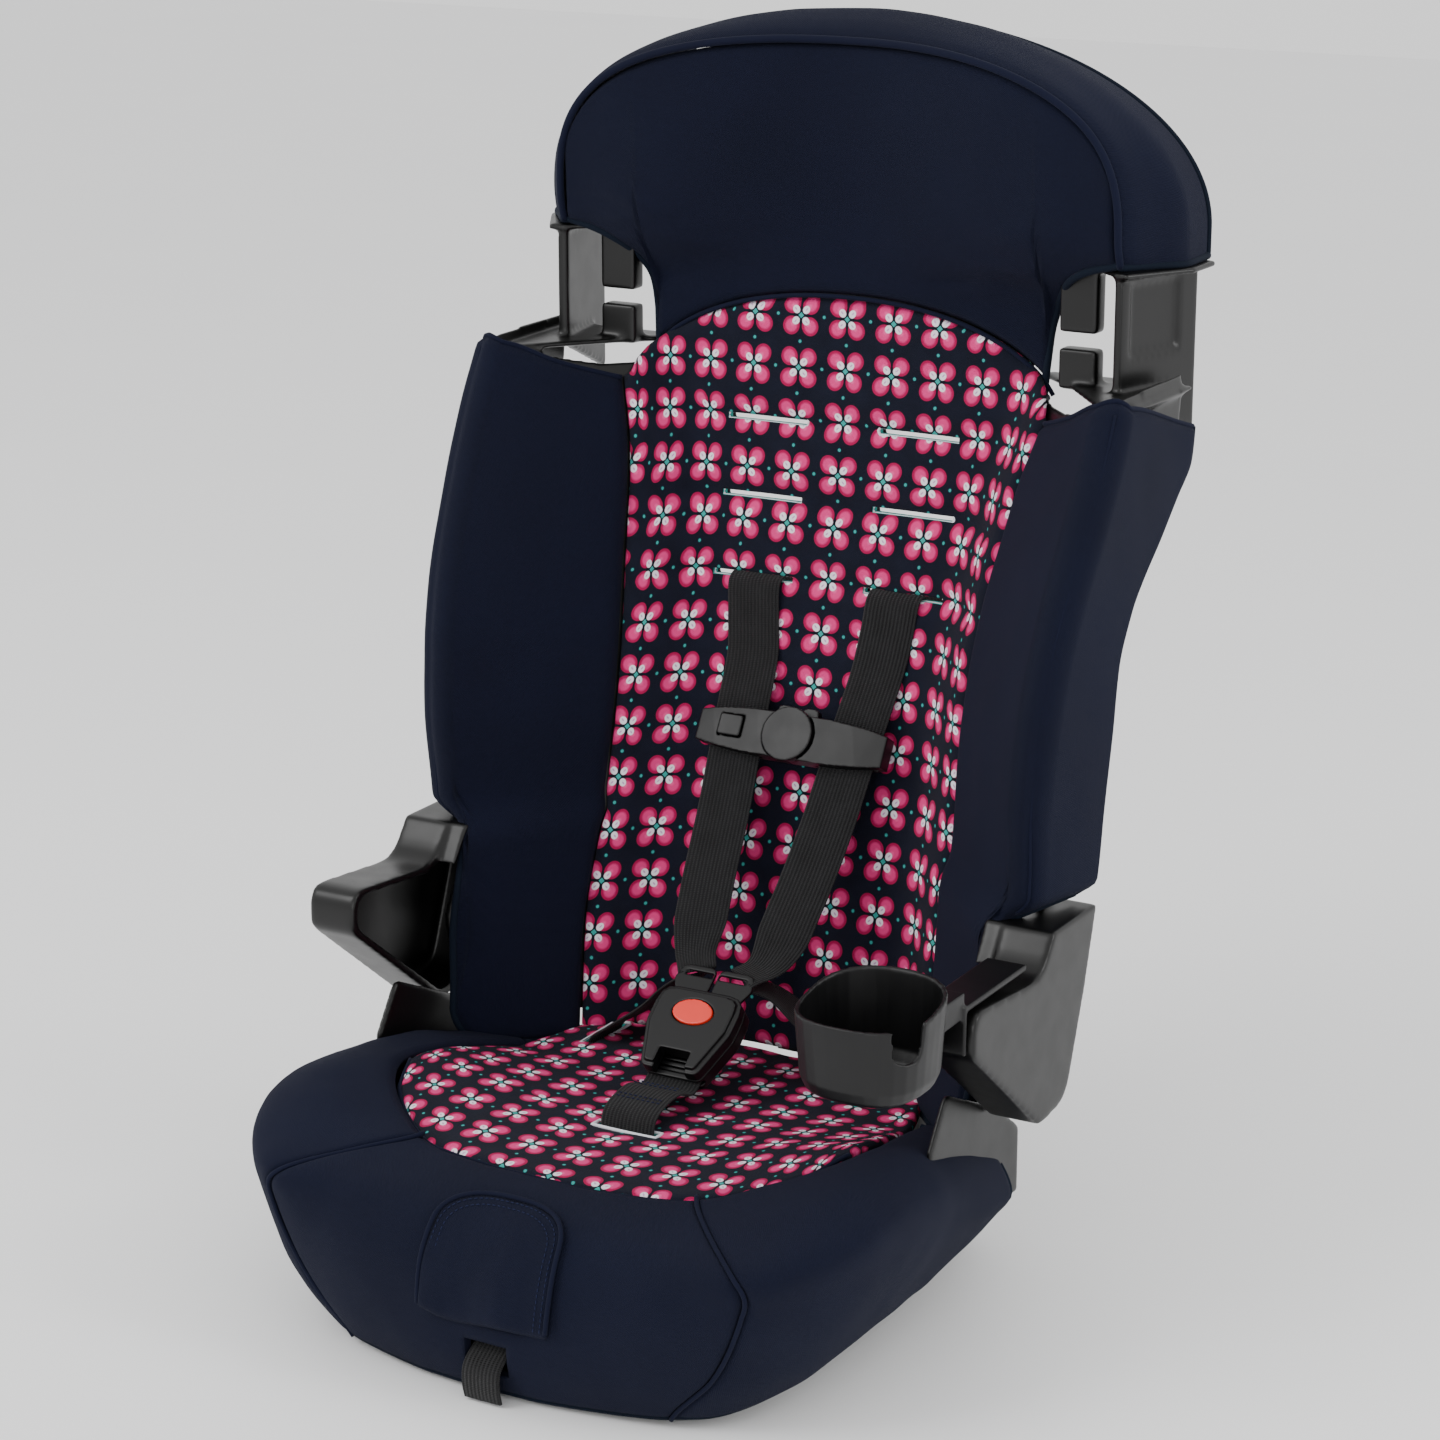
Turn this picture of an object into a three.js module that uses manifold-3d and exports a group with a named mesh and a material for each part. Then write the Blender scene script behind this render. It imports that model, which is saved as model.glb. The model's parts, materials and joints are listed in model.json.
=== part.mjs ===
// High-back harness booster seat, in millimetres.
// +X is the sitter's left, -Y is the way the seat faces, +Z is up, the floor is Z = 0.
import * as THREE from "three";
import { mergeVertices } from "three/addons/utils/BufferGeometryUtils.js";
import Module from "manifold-3d";

const wasm = await Module();
wasm.setup();

// ---------------------------------------------------------------- driving dimensions
const CENTRE_Y = 39; // depth position of the middle of the whole seat, moved to Y = 0 at the end
const PAD = 7; // thickness of cover and foam over the shell
const GAP = 2.5; // clearance between a cover and the shell
const WALL = 4; // moulded wall thickness
const SEAM = 0.8; // half the gap between two sewn panels
const CLEAR = 0.9; // room round a moulding that passes through a cover
const WEBBING = 38; // harness webbing width
const WEB_THICK = 1.6;
const PIVOT = { y: 150, z: 88 }; // hinge line of the backrest on the base
const SLOT_HEIGHTS = [399, 450, 500]; // harness slots, three pairs
const SLOT_X = 55; // middle of a harness slot
const SLOT_WIDTH = 58;
const CUP = { x: 194, y: -98, radius: 41, top: 249, bottom: 198, wall: 2.6, tilt: 8 };

// heights up the backrest against the shape of its front face
const backY = curve([[90, 138], [174, 152], [250, 173], [330, 195], [399, 213], [450, 225], [500, 232], [545, 236],
  [590, 238], [640, 236], [700, 232], [750, 228]]);
const kneeX = curve([[90, 88], [174, 92], [332, 86], [415, 92], [480, 108], [530, 128], [560, 134]]);
const kneeSag = curve([[90, 2], [560, 3]]); // how far the knee stands in front of the centre line
const frontX = curve([[90, 184], [236, 188], [262, 213], [320, 215], [400, 219], [482, 227], [530, 229], [560, 229]]);
const frontY = curve([[90, 30], [140, 44], [175, 54], [236, 60], [262, 60], [320, 55], [360, 57], [400, 65], [440, 79],
  [482, 99], [525, 122], [560, 140]]);
const outerX = curve([[90, 196], [236, 200], [262, 234], [400, 236], [500, 236], [560, 235]]);
const rearY = curve([[90, 40], [236, 70], [258, 130], [306, 136], [345, 142], [391, 150], [423, 168], [440, 186],
  [462, 211], [483, 236], [500, 252], [560, 262]]);

// ---------------------------------------------------------------- helpers
function curve(knots) {
  // smooth interpolation through the knots, level beyond both ends
  return (t) => {
    if (t <= knots[0][0]) return knots[0][1];
    const last = knots[knots.length - 1];
    if (t >= last[0]) return last[1];
    const i = knots.findIndex((k) => k[0] > t) - 1;
    const [t0, v0] = knots[i];
    const [t1, v1] = knots[i + 1];
    const slope = (a, b) => (b[1] - a[1]) / (b[0] - a[0]);
    const mid = slope(knots[i], knots[i + 1]);
    const limit = (other) => (other * mid <= 0 ? 0 : (2 * other * mid) / (other + mid));
    const m0 = i > 0 ? limit(slope(knots[i - 1], knots[i])) : mid;
    const m1 = i + 2 < knots.length ? limit(slope(knots[i + 1], knots[i + 2])) : mid;
    const h = t1 - t0;
    const x = (t - t0) / h;
    return v0 * (1 + 2 * x) * (1 - x) ** 2 + m0 * h * x * (1 - x) ** 2
      + v1 * x * x * (3 - 2 * x) + m1 * h * x * x * (x - 1);
  };
}

function solidFrom(points, faces) {
  const geometry = new THREE.BufferGeometry();
  geometry.setAttribute("position", new THREE.Float32BufferAttribute(points.flat(), 3));
  geometry.setIndex(faces.flat());
  return outward(geometry);
}

function signedVolume(geometry) {
  const p = geometry.getAttribute("position");
  const index = geometry.getIndex();
  const [a, b, c] = [new THREE.Vector3(), new THREE.Vector3(), new THREE.Vector3()];
  let volume = 0;
  for (let i = 0; i < index.count; i += 3) {
    a.fromBufferAttribute(p, index.getX(i));
    b.fromBufferAttribute(p, index.getX(i + 1));
    c.fromBufferAttribute(p, index.getX(i + 2));
    volume += a.dot(b.cross(c)) / 6;
  }
  return volume;
}

function outward(geometry) {
  if (signedVolume(geometry) < 0) {
    const index = geometry.getIndex().array;
    for (let i = 0; i < index.length; i += 3) {
      const keep = index[i];
      index[i] = index[i + 2];
      index[i + 2] = keep;
    }
  }
  return geometry;
}

// closed body between two grids of points that share one outline: at(u, v, side), side 0 outer and 1 inner
function sheet(columns, rows, at) {
  const points = [];
  const faces = [];
  const id = (side, i, j) => side * (columns + 1) * (rows + 1) + j * (columns + 1) + i;
  for (const side of [0, 1]) {
    for (let j = 0; j <= rows; j += 1) {
      for (let i = 0; i <= columns; i += 1) points.push(at(i / columns, j / rows, side));
    }
  }
  const quad = (a, b, c, d) => faces.push([a, b, c], [a, c, d]);
  for (let j = 0; j < rows; j += 1) {
    for (let i = 0; i < columns; i += 1) {
      quad(id(0, i, j), id(0, i + 1, j), id(0, i + 1, j + 1), id(0, i, j + 1));
      quad(id(1, i, j), id(1, i, j + 1), id(1, i + 1, j + 1), id(1, i + 1, j));
    }
    quad(id(0, 0, j), id(0, 0, j + 1), id(1, 0, j + 1), id(1, 0, j));
    quad(id(0, columns, j), id(1, columns, j), id(1, columns, j + 1), id(0, columns, j + 1));
  }
  for (let i = 0; i < columns; i += 1) {
    quad(id(0, i, 0), id(1, i, 0), id(1, i + 1, 0), id(0, i + 1, 0));
    quad(id(0, i, rows), id(0, i + 1, rows), id(1, i + 1, rows), id(1, i, rows));
  }
  return solidFrom(points, faces);
}

// closed body through a row of rings with the same number of points
function loft(rings) {
  const n = rings[0].length;
  const points = rings.flat();
  const faces = [];
  for (let r = 0; r + 1 < rings.length; r += 1) {
    for (let i = 0; i < n; i += 1) {
      const [a, b] = [r * n + i, r * n + ((i + 1) % n)];
      faces.push([a, b, b + n], [a, b + n, a + n]);
    }
  }
  const cap = (start, flip) => {
    const ring = rings[start];
    const normal = new THREE.Vector3();
    const centre = ring.reduce((s, p) => s.add(new THREE.Vector3(...p)), new THREE.Vector3()).divideScalar(n);
    ring.forEach((p, i) => {
      const q = new THREE.Vector3(...ring[(i + 1) % n]).sub(centre);
      normal.add(new THREE.Vector3(...p).sub(centre).cross(q));
    });
    normal.normalize();
    const side = Math.abs(normal.z) < 0.9 ? new THREE.Vector3(0, 0, 1) : new THREE.Vector3(1, 0, 0);
    const ex = side.cross(normal).normalize();
    const ey = normal.clone().cross(ex);
    const flat = ring.map((p) => {
      const v = new THREE.Vector3(...p);
      return new THREE.Vector2(v.dot(ex), v.dot(ey));
    });
    for (const [a, b, c] of THREE.ShapeUtils.triangulateShape(flat, [])) {
      const o = start * n;
      faces.push(flip ? [o + c, o + b, o + a] : [o + a, o + b, o + c]);
    }
  };
  cap(0, true);
  cap(rings.length - 1, false);
  return solidFrom(points, faces);
}

function box(x0, x1, y0, y1, z0, z1) {
  const geometry = new THREE.BoxGeometry(x1 - x0, y1 - y0, z1 - z0);
  return geometry.translate((x0 + x1) / 2, (y0 + y1) / 2, (z0 + z1) / 2);
}

// cylinder along "x", "y" or "z" centred on a point
function rod(radius, length, axis, [x, y, z], sides = 20, endRadius = radius) {
  const geometry = new THREE.CylinderGeometry(endRadius, radius, length, sides);
  if (axis === "x") geometry.rotateZ(-Math.PI / 2);
  if (axis === "z") geometry.rotateX(Math.PI / 2);
  return geometry.translate(x, y, z);
}

// outline in the Y-Z plane, pushed out along X
function sidePlate(outline, x0, x1) {
  return loft([x0, x1].map((x) => outline.map(([y, z]) => [x, y, z])));
}

// rounded corners on a closed outline: points are [a, b, radius]
function rounded(corners, steps = 4) {
  const out = [];
  corners.forEach(([a, b, radius = 0], i) => {
    const prev = corners[(i + corners.length - 1) % corners.length];
    const next = corners[(i + 1) % corners.length];
    const here = new THREE.Vector2(a, b);
    const d0 = new THREE.Vector2(prev[0], prev[1]).sub(here);
    const d1 = new THREE.Vector2(next[0], next[1]).sub(here);
    const turn = Math.acos(THREE.MathUtils.clamp(d0.dot(d1) / d0.length() / d1.length(), -1, 1));
    const reach = Math.min(radius / Math.tan(turn / 2), d0.length() * 0.48, d1.length() * 0.48);
    if (radius === 0) {
      out.push([a, b]);
      return;
    }
    const p0 = here.clone().add(d0.setLength(reach));
    const p1 = here.clone().add(d1.setLength(reach));
    for (let k = 0; k <= steps; k += 1) {
      const t = k / steps;
      out.push([
        (1 - t) ** 2 * p0.x + 2 * t * (1 - t) * a + t * t * p1.x,
        (1 - t) ** 2 * p0.y + 2 * t * (1 - t) * b + t * t * p1.y,
      ]);
    }
  });
  return out;
}

// flat strap along a path; across(t) is the direction of its width
function strap(path, across, width = WEBBING, thick = WEB_THICK, steps = 18) {
  const line = new THREE.CatmullRomCurve3(path.map((p) => new THREE.Vector3(...p)), false, "centripetal");
  const rings = [];
  for (let i = 0; i <= steps; i += 1) {
    const t = i / steps;
    const centre = line.getPointAt(t);
    const along = line.getTangentAt(t);
    const side = new THREE.Vector3(...across(t));
    side.addScaledVector(along, -side.dot(along)).normalize();
    const up = side.clone().cross(along).normalize();
    const corner = (a, b) => centre.clone().addScaledVector(side, a * width / 2)
      .addScaledVector(up, b * thick / 2).toArray();
    rings.push([corner(-1, -1), corner(1, -1), corner(1, 1), corner(-1, 1)]);
  }
  return loft(rings);
}

function toManifold(geometry) {
  const clean = geometry.clone();
  clean.deleteAttribute("normal");
  clean.deleteAttribute("uv");
  const merged = mergeVertices(clean, 1e-4);
  return new wasm.Manifold(new wasm.Mesh({
    numProp: 3,
    vertProperties: new Float32Array(merged.getAttribute("position").array),
    triVerts: new Uint32Array(merged.getIndex().array),
  }));
}

function fromManifold(body) {
  const mesh = body.getMesh();
  const geometry = new THREE.BufferGeometry();
  geometry.setAttribute("position", new THREE.BufferAttribute(new Float32Array(mesh.vertProperties), 3));
  geometry.setIndex(new THREE.BufferAttribute(new Uint32Array(mesh.triVerts), 1));
  return geometry;
}

function union(...pieces) {
  return fromManifold(pieces.map(toManifold).reduce((a, b) => a.add(b)).simplify(SMALLEST));
}

const SMALLEST = 0.05; // details under this size are smoothed away after a boolean

// cuts the tools out and keeps the largest piece that is left
function cut(body, ...tools) {
  const left = tools.map(toManifold).reduce((a, b) => a.subtract(b), toManifold(body));
  return fromManifold(left.simplify(SMALLEST).decompose().sort((a, b) => b.volume() - a.volume())[0]);
}

// the same outline moved outward by d
function grown(outline, d) {
  const n = outline.length;
  const area = outline.reduce((sum, [a, b], i) => sum + a * outline[(i + 1) % n][1] - b * outline[(i + 1) % n][0], 0);
  return outline.map(([a, b], i) => {
    const [pa, pb] = outline[(i + n - 1) % n];
    const [na, nb] = outline[(i + 1) % n];
    const along = new THREE.Vector2(na - pa, nb - pb).normalize().multiplyScalar(d * Math.sign(area));
    return [a + along.y, b - along.x];
  });
}

function mirrored(geometry) {
  const copy = geometry.clone().scale(-1, 1, 1);
  if (!copy.getIndex()) return outward(mergeVertices(copy));
  return outward(copy);
}

// ---------------------------------------------------------------- backrest section
// Half section of the torso at height z, sunk by depth below the cover face.
// s runs 0 centre, 1 to 2 round the knee, 2 to 3 wing face, 3 to 4 round the front edge, 4 to 5 outer side.
function torsoPoint(s, z, depth) {
  const side = Math.sign(s) || 1;
  const w = Math.abs(s);
  const yb = backY(z) + depth;
  const knee = new THREE.Vector2(kneeX(z), yb - kneeSag(z));
  const apex = new THREE.Vector2(frontX(z), frontY(z));
  const rear = new THREE.Vector2(outerX(z) - depth, rearY(z));
  const face = apex.clone().sub(new THREE.Vector2(kneeX(z), backY(z) - kneeSag(z))).normalize();
  const normal = new THREE.Vector2(-face.y, face.x); // points into the wing
  const wingAt = new THREE.Vector2(apex.x, apex.y).addScaledVector(normal, depth);
  const kneeAt = meet(new THREE.Vector2(0, yb), new THREE.Vector2(knee.x, knee.y), wingAt, face);
  const wall = new THREE.Vector2(outerX(z) - frontX(z) - 3, rearY(z) - frontY(z)).normalize();
  const tip = meetLines(kneeAt, face, rear, wall);
  const kneeArc = arc(new THREE.Vector2(0, yb), kneeAt, tip, 34 + depth);
  const tipArc = arc(kneeAt, tip, rear, Math.max(14 - depth, 1.5));
  let p;
  if (w <= 1) p = new THREE.Vector2(0, yb).lerp(kneeArc(0), w);
  else if (w <= 2) p = kneeArc(w - 1);
  else if (w <= 3) p = kneeArc(1).lerp(tipArc(0), w - 2);
  else if (w <= 4) p = tipArc(w - 3);
  else p = tipArc(1).lerp(rear, w - 4);
  return [side * p.x, p.y, z];
}

// where the line from a through b meets the line through c along direction d
function meet(a, b, c, d) {
  return meetLines(a, b.clone().sub(a), c, d);
}

function meetLines(a, u, c, v) {
  const cross = u.x * v.y - u.y * v.x;
  const t = ((c.x - a.x) * v.y - (c.y - a.y) * v.x) / cross;
  return new THREE.Vector2(a.x + u.x * t, a.y + u.y * t);
}

// fillet at corner b between a and c, as a function of 0..1
function arc(a, b, c, radius) {
  const d0 = a.clone().sub(b);
  const d1 = c.clone().sub(b);
  const turn = Math.acos(THREE.MathUtils.clamp(d0.dot(d1) / d0.length() / d1.length(), -1, 1));
  const reach = Math.min(radius / Math.tan(turn / 2), d0.length() * 0.45, d1.length() * 0.45);
  const real = reach * Math.tan(turn / 2);
  const p0 = b.clone().add(d0.setLength(reach));
  const p1 = b.clone().add(d1.setLength(reach));
  const centre = b.clone().add(p0.clone().add(p1).multiplyScalar(0.5).sub(b).setLength(real / Math.sin(turn / 2)));
  const a0 = Math.atan2(p0.y - centre.y, p0.x - centre.x);
  let sweep = Math.atan2(p1.y - centre.y, p1.x - centre.x) - a0;
  if (sweep > Math.PI) sweep -= 2 * Math.PI;
  if (sweep < -Math.PI) sweep += 2 * Math.PI;
  return (t) => new THREE.Vector2(centre.x + real * Math.cos(a0 + sweep * t), centre.y + real * Math.sin(a0 + sweep * t));
}

// ---------------------------------------------------------------- backrest panels
// A sewn panel on the torso: edges(u, v) gives section place s and height z.
function torsoPanel(columns, rows, edges, outerDepth, innerDepth) {
  return sheet(columns, rows, (u, v, side) => {
    const [s, z] = edges(u, v);
    const rim = Math.min(u, 1 - u, v, 1 - v) > 0.001 ? 0 : 1;
    return torsoPoint(s, z, side ? innerDepth : outerDepth + 2 * rim);
  });
}

const mix = (a, b, t) => a + (b - a) * t;

// floral back insert: straight sides, arched top
const INSERT_BOTTOM = 116;
const insertSide = curve([[90, 2.28], [174, 2.28], [332, 2.26], [415, 2.26], [480, 2.22], [524, 2.18]]);
const INSERT_HALF = 150;
const insertTop = (share) => 524 + 60 * (1 - Math.abs(share) ** 2.2) ** 0.6;
const backInsert = torsoPanel(14, 10, (u, v) => {
  const share = 2 * u - 1;
  const x = torsoPoint(share * insertSide(540), 545, 0)[0];
  const z = mix(INSERT_BOTTOM, insertTop(Math.min(Math.abs(x) / INSERT_HALF, 1)) - 3 * SEAM, v);
  return [share * (insertSide(z) - 0.015), z];
}, 0, PAD);

// side wing covers, from the insert round the front edge to the rear edge of the outer side
const wingTop = curve([[2.2, 522], [2.6, 534], [3, 548], [3.5, 552], [4, 546], [5, 516]]);
const wingFoot = curve([[2.2, 112], [2.65, 134], [2.95, 178], [3.2, 218], [3.5, 242], [4, 252], [5, 254]]);
const wingPanel = (outerDepth, innerDepth) => torsoPanel(11, 10, (u, v) => {
  const z0 = mix(116, 520, v);
  const s = mix(insertSide(z0) + 0.015, 4.97, u);
  return [s, mix(wingFoot(s), wingTop(s), v)];
}, outerDepth, innerDepth);
const wingCover = wingPanel(0, PAD);

// ---------------------------------------------------------------- head and neck
const HEAD = { halfWidth: 197, foot: 640, rise: 106, power: 2.7, under: 622 };
const NECK_HALF = 139;
const NECK_PAD = 7;
const bow = curve([[588, 0], [600, 7], [615, 20], [640, 27], [760, 27]]);
const headY = (x, z) => backY(z) - bow(z) * THREE.MathUtils.smoothstep(Math.abs(x), 0, 165);
const headTop = (x) => HEAD.foot + HEAD.rise
  * (1 - Math.min(Math.abs(x) / HEAD.halfWidth, 1) ** HEAD.power) ** (1 / HEAD.power);
const headFoot = curve([[0, 584], [100, 562], [130, 541], [139, 533], [142, 572], [150, 596], [163, 611], [180, 619],
  [197, 623]]);
const headCover = sheet(24, 6, (u, v, side) => {
  const share = 2 * u - 1;
  const x = (HEAD.halfWidth - 2) * (1.25 * share - 0.25 * share ** 3);
  const foot = Math.abs(x) < NECK_HALF ? insertTop(x / INSERT_HALF) + SEAM : headFoot(Math.abs(x));
  const z = mix(foot, Math.max(headTop(x) - 3, HEAD.foot), v);
  const thick = mix(NECK_PAD, 16, THREE.MathUtils.smoothstep(z, 622, 660));
  return [x, headY(x, z) + (side ? thick : 0), z];
});

// open ring round the head from foot to foot, t 0..1 from +X over the top to -X
function headRing(t, halfWidth, rise, power, y) {
  const leg = 0.05;
  const angle = THREE.MathUtils.clamp((t - leg) / (1 - 2 * leg), 0, 1) * Math.PI;
  const c = Math.cos(angle);
  const x = halfWidth * Math.sign(c) * Math.abs(c) ** (2 / power);
  const drop = Math.max(leg - t, t - 1 + leg, 0) / leg;
  const z = HEAD.foot + rise * Math.abs(Math.sin(angle)) ** (2 / power) - drop * (HEAD.foot - HEAD.under);
  return [x, y(x, z), z];
}

const HEAD_REAR = 286;
const gussetWidth = curve([[0, 198], [0.25, 211], [0.55, 225], [1, 224]]);
const gussetRise = curve([[0, 107], [0.25, 117], [0.55, 122], [1, 116]]);
const gussetPower = curve([[0, 2.7], [0.25, 2.3], [0.55, 2.05], [1, 2]]);
function gussetPoint(t, v, depth) {
  const y = (x, z) => mix(headY(x, z), HEAD_REAR, v);
  return headRing(t, gussetWidth(v) - depth, gussetRise(v) - depth, gussetPower(v), y);
}
const headGusset = sheet(24, 4, (u, v, side) => gussetPoint(u, v, side ? 0.8 : -3));

// foam block behind the head cover, inside the gusset
const FOAM_REAR = 266;
const headFoam = sheet(14, 3, (u, v, side) => {
  const share = 2 * u - 1;
  const x = (HEAD.halfWidth - 6) * (1.25 * share - 0.25 * share ** 3);
  const z = mix(HEAD.under + 2.5, Math.max(headTop(x) - 6, HEAD.foot), v);
  return [x, side ? FOAM_REAR : headY(x, z) + 18, z];
});

// ---------------------------------------------------------------- moulded back shell
const SHELL = PAD + GAP; // depth of the shell's front face below the cover face
const SHELL_FOOT = 112;
const shellTop = curve([[0, 596], [1, 596], [1.3, 548], [2.2, 530], [2.6, 536], [3, 546], [3.5, 549], [4, 552],
  [5, 552]]);
const shellFoot = curve([[0, SHELL_FOOT], [2.9, SHELL_FOOT + 4], [3.1, 150], [3.8, 244], [5, 252]]);
const torsoWall = (front, spare = 0) => sheet(30, 10, (u, v, side) => {
  const s = (4.94 + spare / 60) * (2 * u - 1);
  const z = mix(shellFoot(Math.abs(s)) - spare, shellTop(Math.abs(s)) + spare, v);
  return torsoPoint(s, z, side ? SHELL + WALL : front);
});
const wingBed = wingPanel(-3, PAD + CLEAR);
const edgeNotch = box(186, 224, 50, 100, 236, 276); // the shell stops short of the wing's lower front corner
const torsoShell = cut(torsoWall(SHELL), wingBed, mirrored(wingBed), edgeNotch, mirrored(edgeNotch));

const neckShell = sheet(6, 4, (u, v, side) => {
  const x = (2 * u - 1) * (NECK_HALF - 3);
  const z = mix(552, 620, v);
  return [x, backY(z) + SHELL + (side ? WALL : 0), z];
});

// tray behind the head foam
function headTray(depth, y0, y1) {
  const rings = [y0, y1].map((y) => {
    const ring = [];
    for (let i = 0; i <= 20; i += 1) {
      const [x, , z] = headRing(i / 20, 219 - depth, 112 - depth, 2, () => 0);
      ring.push([x, y, i === 0 || i === 20 ? HEAD.under - 5 + depth : z]);
    }
    return ring;
  });
  return loft(rings);
}
const tray = cut(headTray(0, 268, HEAD_REAR - 2), headTray(WALL, 260, HEAD_REAR - 6));

// belt windows: side plates, ledges above and below, and the guide tabs between them
const PLATE = { front: [202, 210], rear: [220, 288], thick: 7, top: 619.5, foot: [540, 511] };
const plateAlong = new THREE.Vector2(PLATE.rear[0] - PLATE.front[0], PLATE.rear[1] - PLATE.front[1]).normalize();
// a place on the plate: t mm back from its front edge, out mm away from its outer face
const onPlate = (t, out) => [
  PLATE.front[0] + plateAlong.x * t + plateAlong.y * out,
  PLATE.front[1] + plateAlong.y * t - plateAlong.x * out,
];
const PLATE_LENGTH = Math.hypot(PLATE.rear[0] - PLATE.front[0], PLATE.rear[1] - PLATE.front[1]);
function plateBlock(from, to, inner, outer, foot, top) {
  const ring = (levels) => [[from, inner], [from, outer], [to, outer], [to, inner]]
    .map(([t, out], i) => [...onPlate(t, out), levels[i > 1 ? 1 : 0]]);
  return loft([ring(foot), ring([top, top])]);
}
const plateRecess = plateBlock(10, 60, -2.5, 10, [566, 566], 612);
const plate = cut(plateBlock(0, PLATE_LENGTH, -PLATE.thick, 0, PLATE.foot, PLATE.top), plateRecess);
const plateRoom = plateBlock(-CLEAR, PLATE_LENGTH + CLEAR, -PLATE.thick - CLEAR, CLEAR,
  PLATE.foot.map((z) => z - CLEAR), PLATE.top + CLEAR);
const lowLedge = loft([541, 545].map((z) => [[132, 252, z], [160, 228, z], [200, 178, z], [212, 168, z], [228, 178, z],
  [229, 262, z], [132, 262, z]]));
const highLedge = loft([616, 620].map((z) => [[120, 249, z], [150, 243, z], [176, 228, z], [196, 210, z],
  [206, 206, z], [232, 250, z], [233, 284, z], [120, 284, z]]));
const tabX = [153, 179];
const TAB_REAR = 240;
const lowTab = box(...tabX, 226, TAB_REAR, 542, 567);
const highTab = box(...tabX, 226, TAB_REAR, 577, 618);
const tabFoot = box(...tabX, 226, 252, 541, 545);

// armrest and hip panel, one each side
const armOutline = rounded([[-44, 231, 16], [46, 223, 26], [64, 247, 0], [127, 247, 0], [124, 236, 8], [112, 196, 20],
  [88, 132, 22], [50, 128, 12], [-46, 204, 15]], 4);
const armHollow = rounded([[-38, 226, 12], [48, 218, 22], [68, 242, 0], [122, 242, 0], [118, 232, 6], [107, 198, 16],
  [84, 138, 18], [53, 134, 10], [-40, 206, 11]], 4);
const ARM_INNER = 200;
const ARM_OUTER = 234;
const armRoot = [[50, 222], [50, 142], [104, 172], [118, 247], [66, 247]];
const armBand = cut(
  union(sidePlate(armOutline, ARM_INNER, ARM_OUTER), sidePlate(armRoot, 186, ARM_INNER + 1)),
  sidePlate(armHollow, ARM_INNER - 30, ARM_OUTER - WALL),
);

const lug = (x) => union(
  loft([x - 5, x + 5].map((k) => [[k, 150, 132], [k, 146, 96], [k, 154, 80], [k, 160, 96], [k, 166, 132]])),
  rod(9, 10, "x", [x, PIVOT.y, PIVOT.z], 24),
);
const PIN_RADIUS = 4;
const LUG_X = 96;
const shellSide = union(plate, lowLedge, highLedge, lowTab, highTab, tabFoot);
const shellRaw = union(torsoShell, neckShell, tray, shellSide, mirrored(shellSide), lug(LUG_X), lug(-LUG_X));
const slotCutters = SLOT_HEIGHTS.flatMap((z) => [-1, 1].map((side) => {
  const x = side * SLOT_X;
  return box(x - SLOT_WIDTH / 2, x + SLOT_WIDTH / 2, backY(z) - 20, backY(z) + 40, z - 4, z + 4);
}));
const pinHole = rod(PIN_RADIUS + 0.05, 400, "x", [0, PIVOT.y, PIVOT.z], 24);
const backShell = cut(union(shellRaw, armBand, mirrored(armBand)), ...slotCutters, pinHole);

// room that the covers leave round the moulding
const behindEdge = loft([222, 298].map((z) => [[178, 99, z], [217, 66, z], [217, 97, z], [180, 105, z]]));
const sideRoom = [
  plateRoom,
  sidePlate(grown(armOutline, CLEAR), ARM_INNER - CLEAR, ARM_OUTER + CLEAR),
  sidePlate(grown(armRoot, CLEAR), 186 - CLEAR, ARM_INNER),
  loft([541 - CLEAR, 545 + CLEAR].map((z) => [[131, 251, z], [159, 227, z], [200, 177, z], [228, 176, z],
    [230, 263, z], [131, 263, z]])),
  behindEdge,
];
const wallRoom = torsoWall(SHELL - 2 * CLEAR, 2);
const ledgeRoom = loft([616 - CLEAR, 620 + CLEAR].map((z) => [[119, 248, z], [150, 242, z], [175, 227, z],
  [195, 208, z], [207, 205, z], [234, 249, z], [234, 285, z], [119, 285, z]]));
const tabRoom = box(tabX[0] - CLEAR, tabX[1] + CLEAR, 226 - CLEAR, TAB_REAR + CLEAR, 570, 621);
const wingClear = cut(wingCover, wallRoom, ...sideRoom);
const headClear = cut(headCover, wallRoom, ledgeRoom, mirrored(ledgeRoom), tabRoom, mirrored(tabRoom));

// ---------------------------------------------------------------- seat cover and base
// Rings of the seat cover from its lower edge up to the floral insert. Each lists half of an open ring from
// the middle of the front to the rear: [x, y, z].
const COVER_RINGS = [
  [[0, -200, 3], [55, -196, 3], [100, -187, 4], [138, -168, 7], [168, -142, 20], [188, -95, 38], [190, -10, 39],
    [192, 66, 48]],
  [[0, -205, 30], [60, -202, 31], [112, -194, 33], [155, -176, 36], [184, -144, 46], [198, -92, 56], [199, -8, 58],
    [200, 68, 58]],
  [[0, -201, 76], [64, -200, 78], [118, -198, 80], [164, -189, 84], [198, -152, 90], [212, -94, 92], [210, -6, 84],
    [208, 70, 68]],
  [[0, -184, 101], [62, -186, 102], [116, -188, 104], [163, -190, 106], [202, -148, 116], [213, -94, 122],
    [209, -6, 106], [206, 72, 78]],
  [[0, -163, 113], [58, -162, 113], [104, -159, 115], [138, -155, 119], [178, -128, 130], [192, -88, 134],
    [190, -4, 124], [188, 74, 100]],
  [[0, -139, 117], [52, -136, 117], [88, -128, 119], [112, -113, 123], [142, -84, 130], [160, -46, 133],
    [155, 12, 120], [142, 74, 104]],
];
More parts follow.
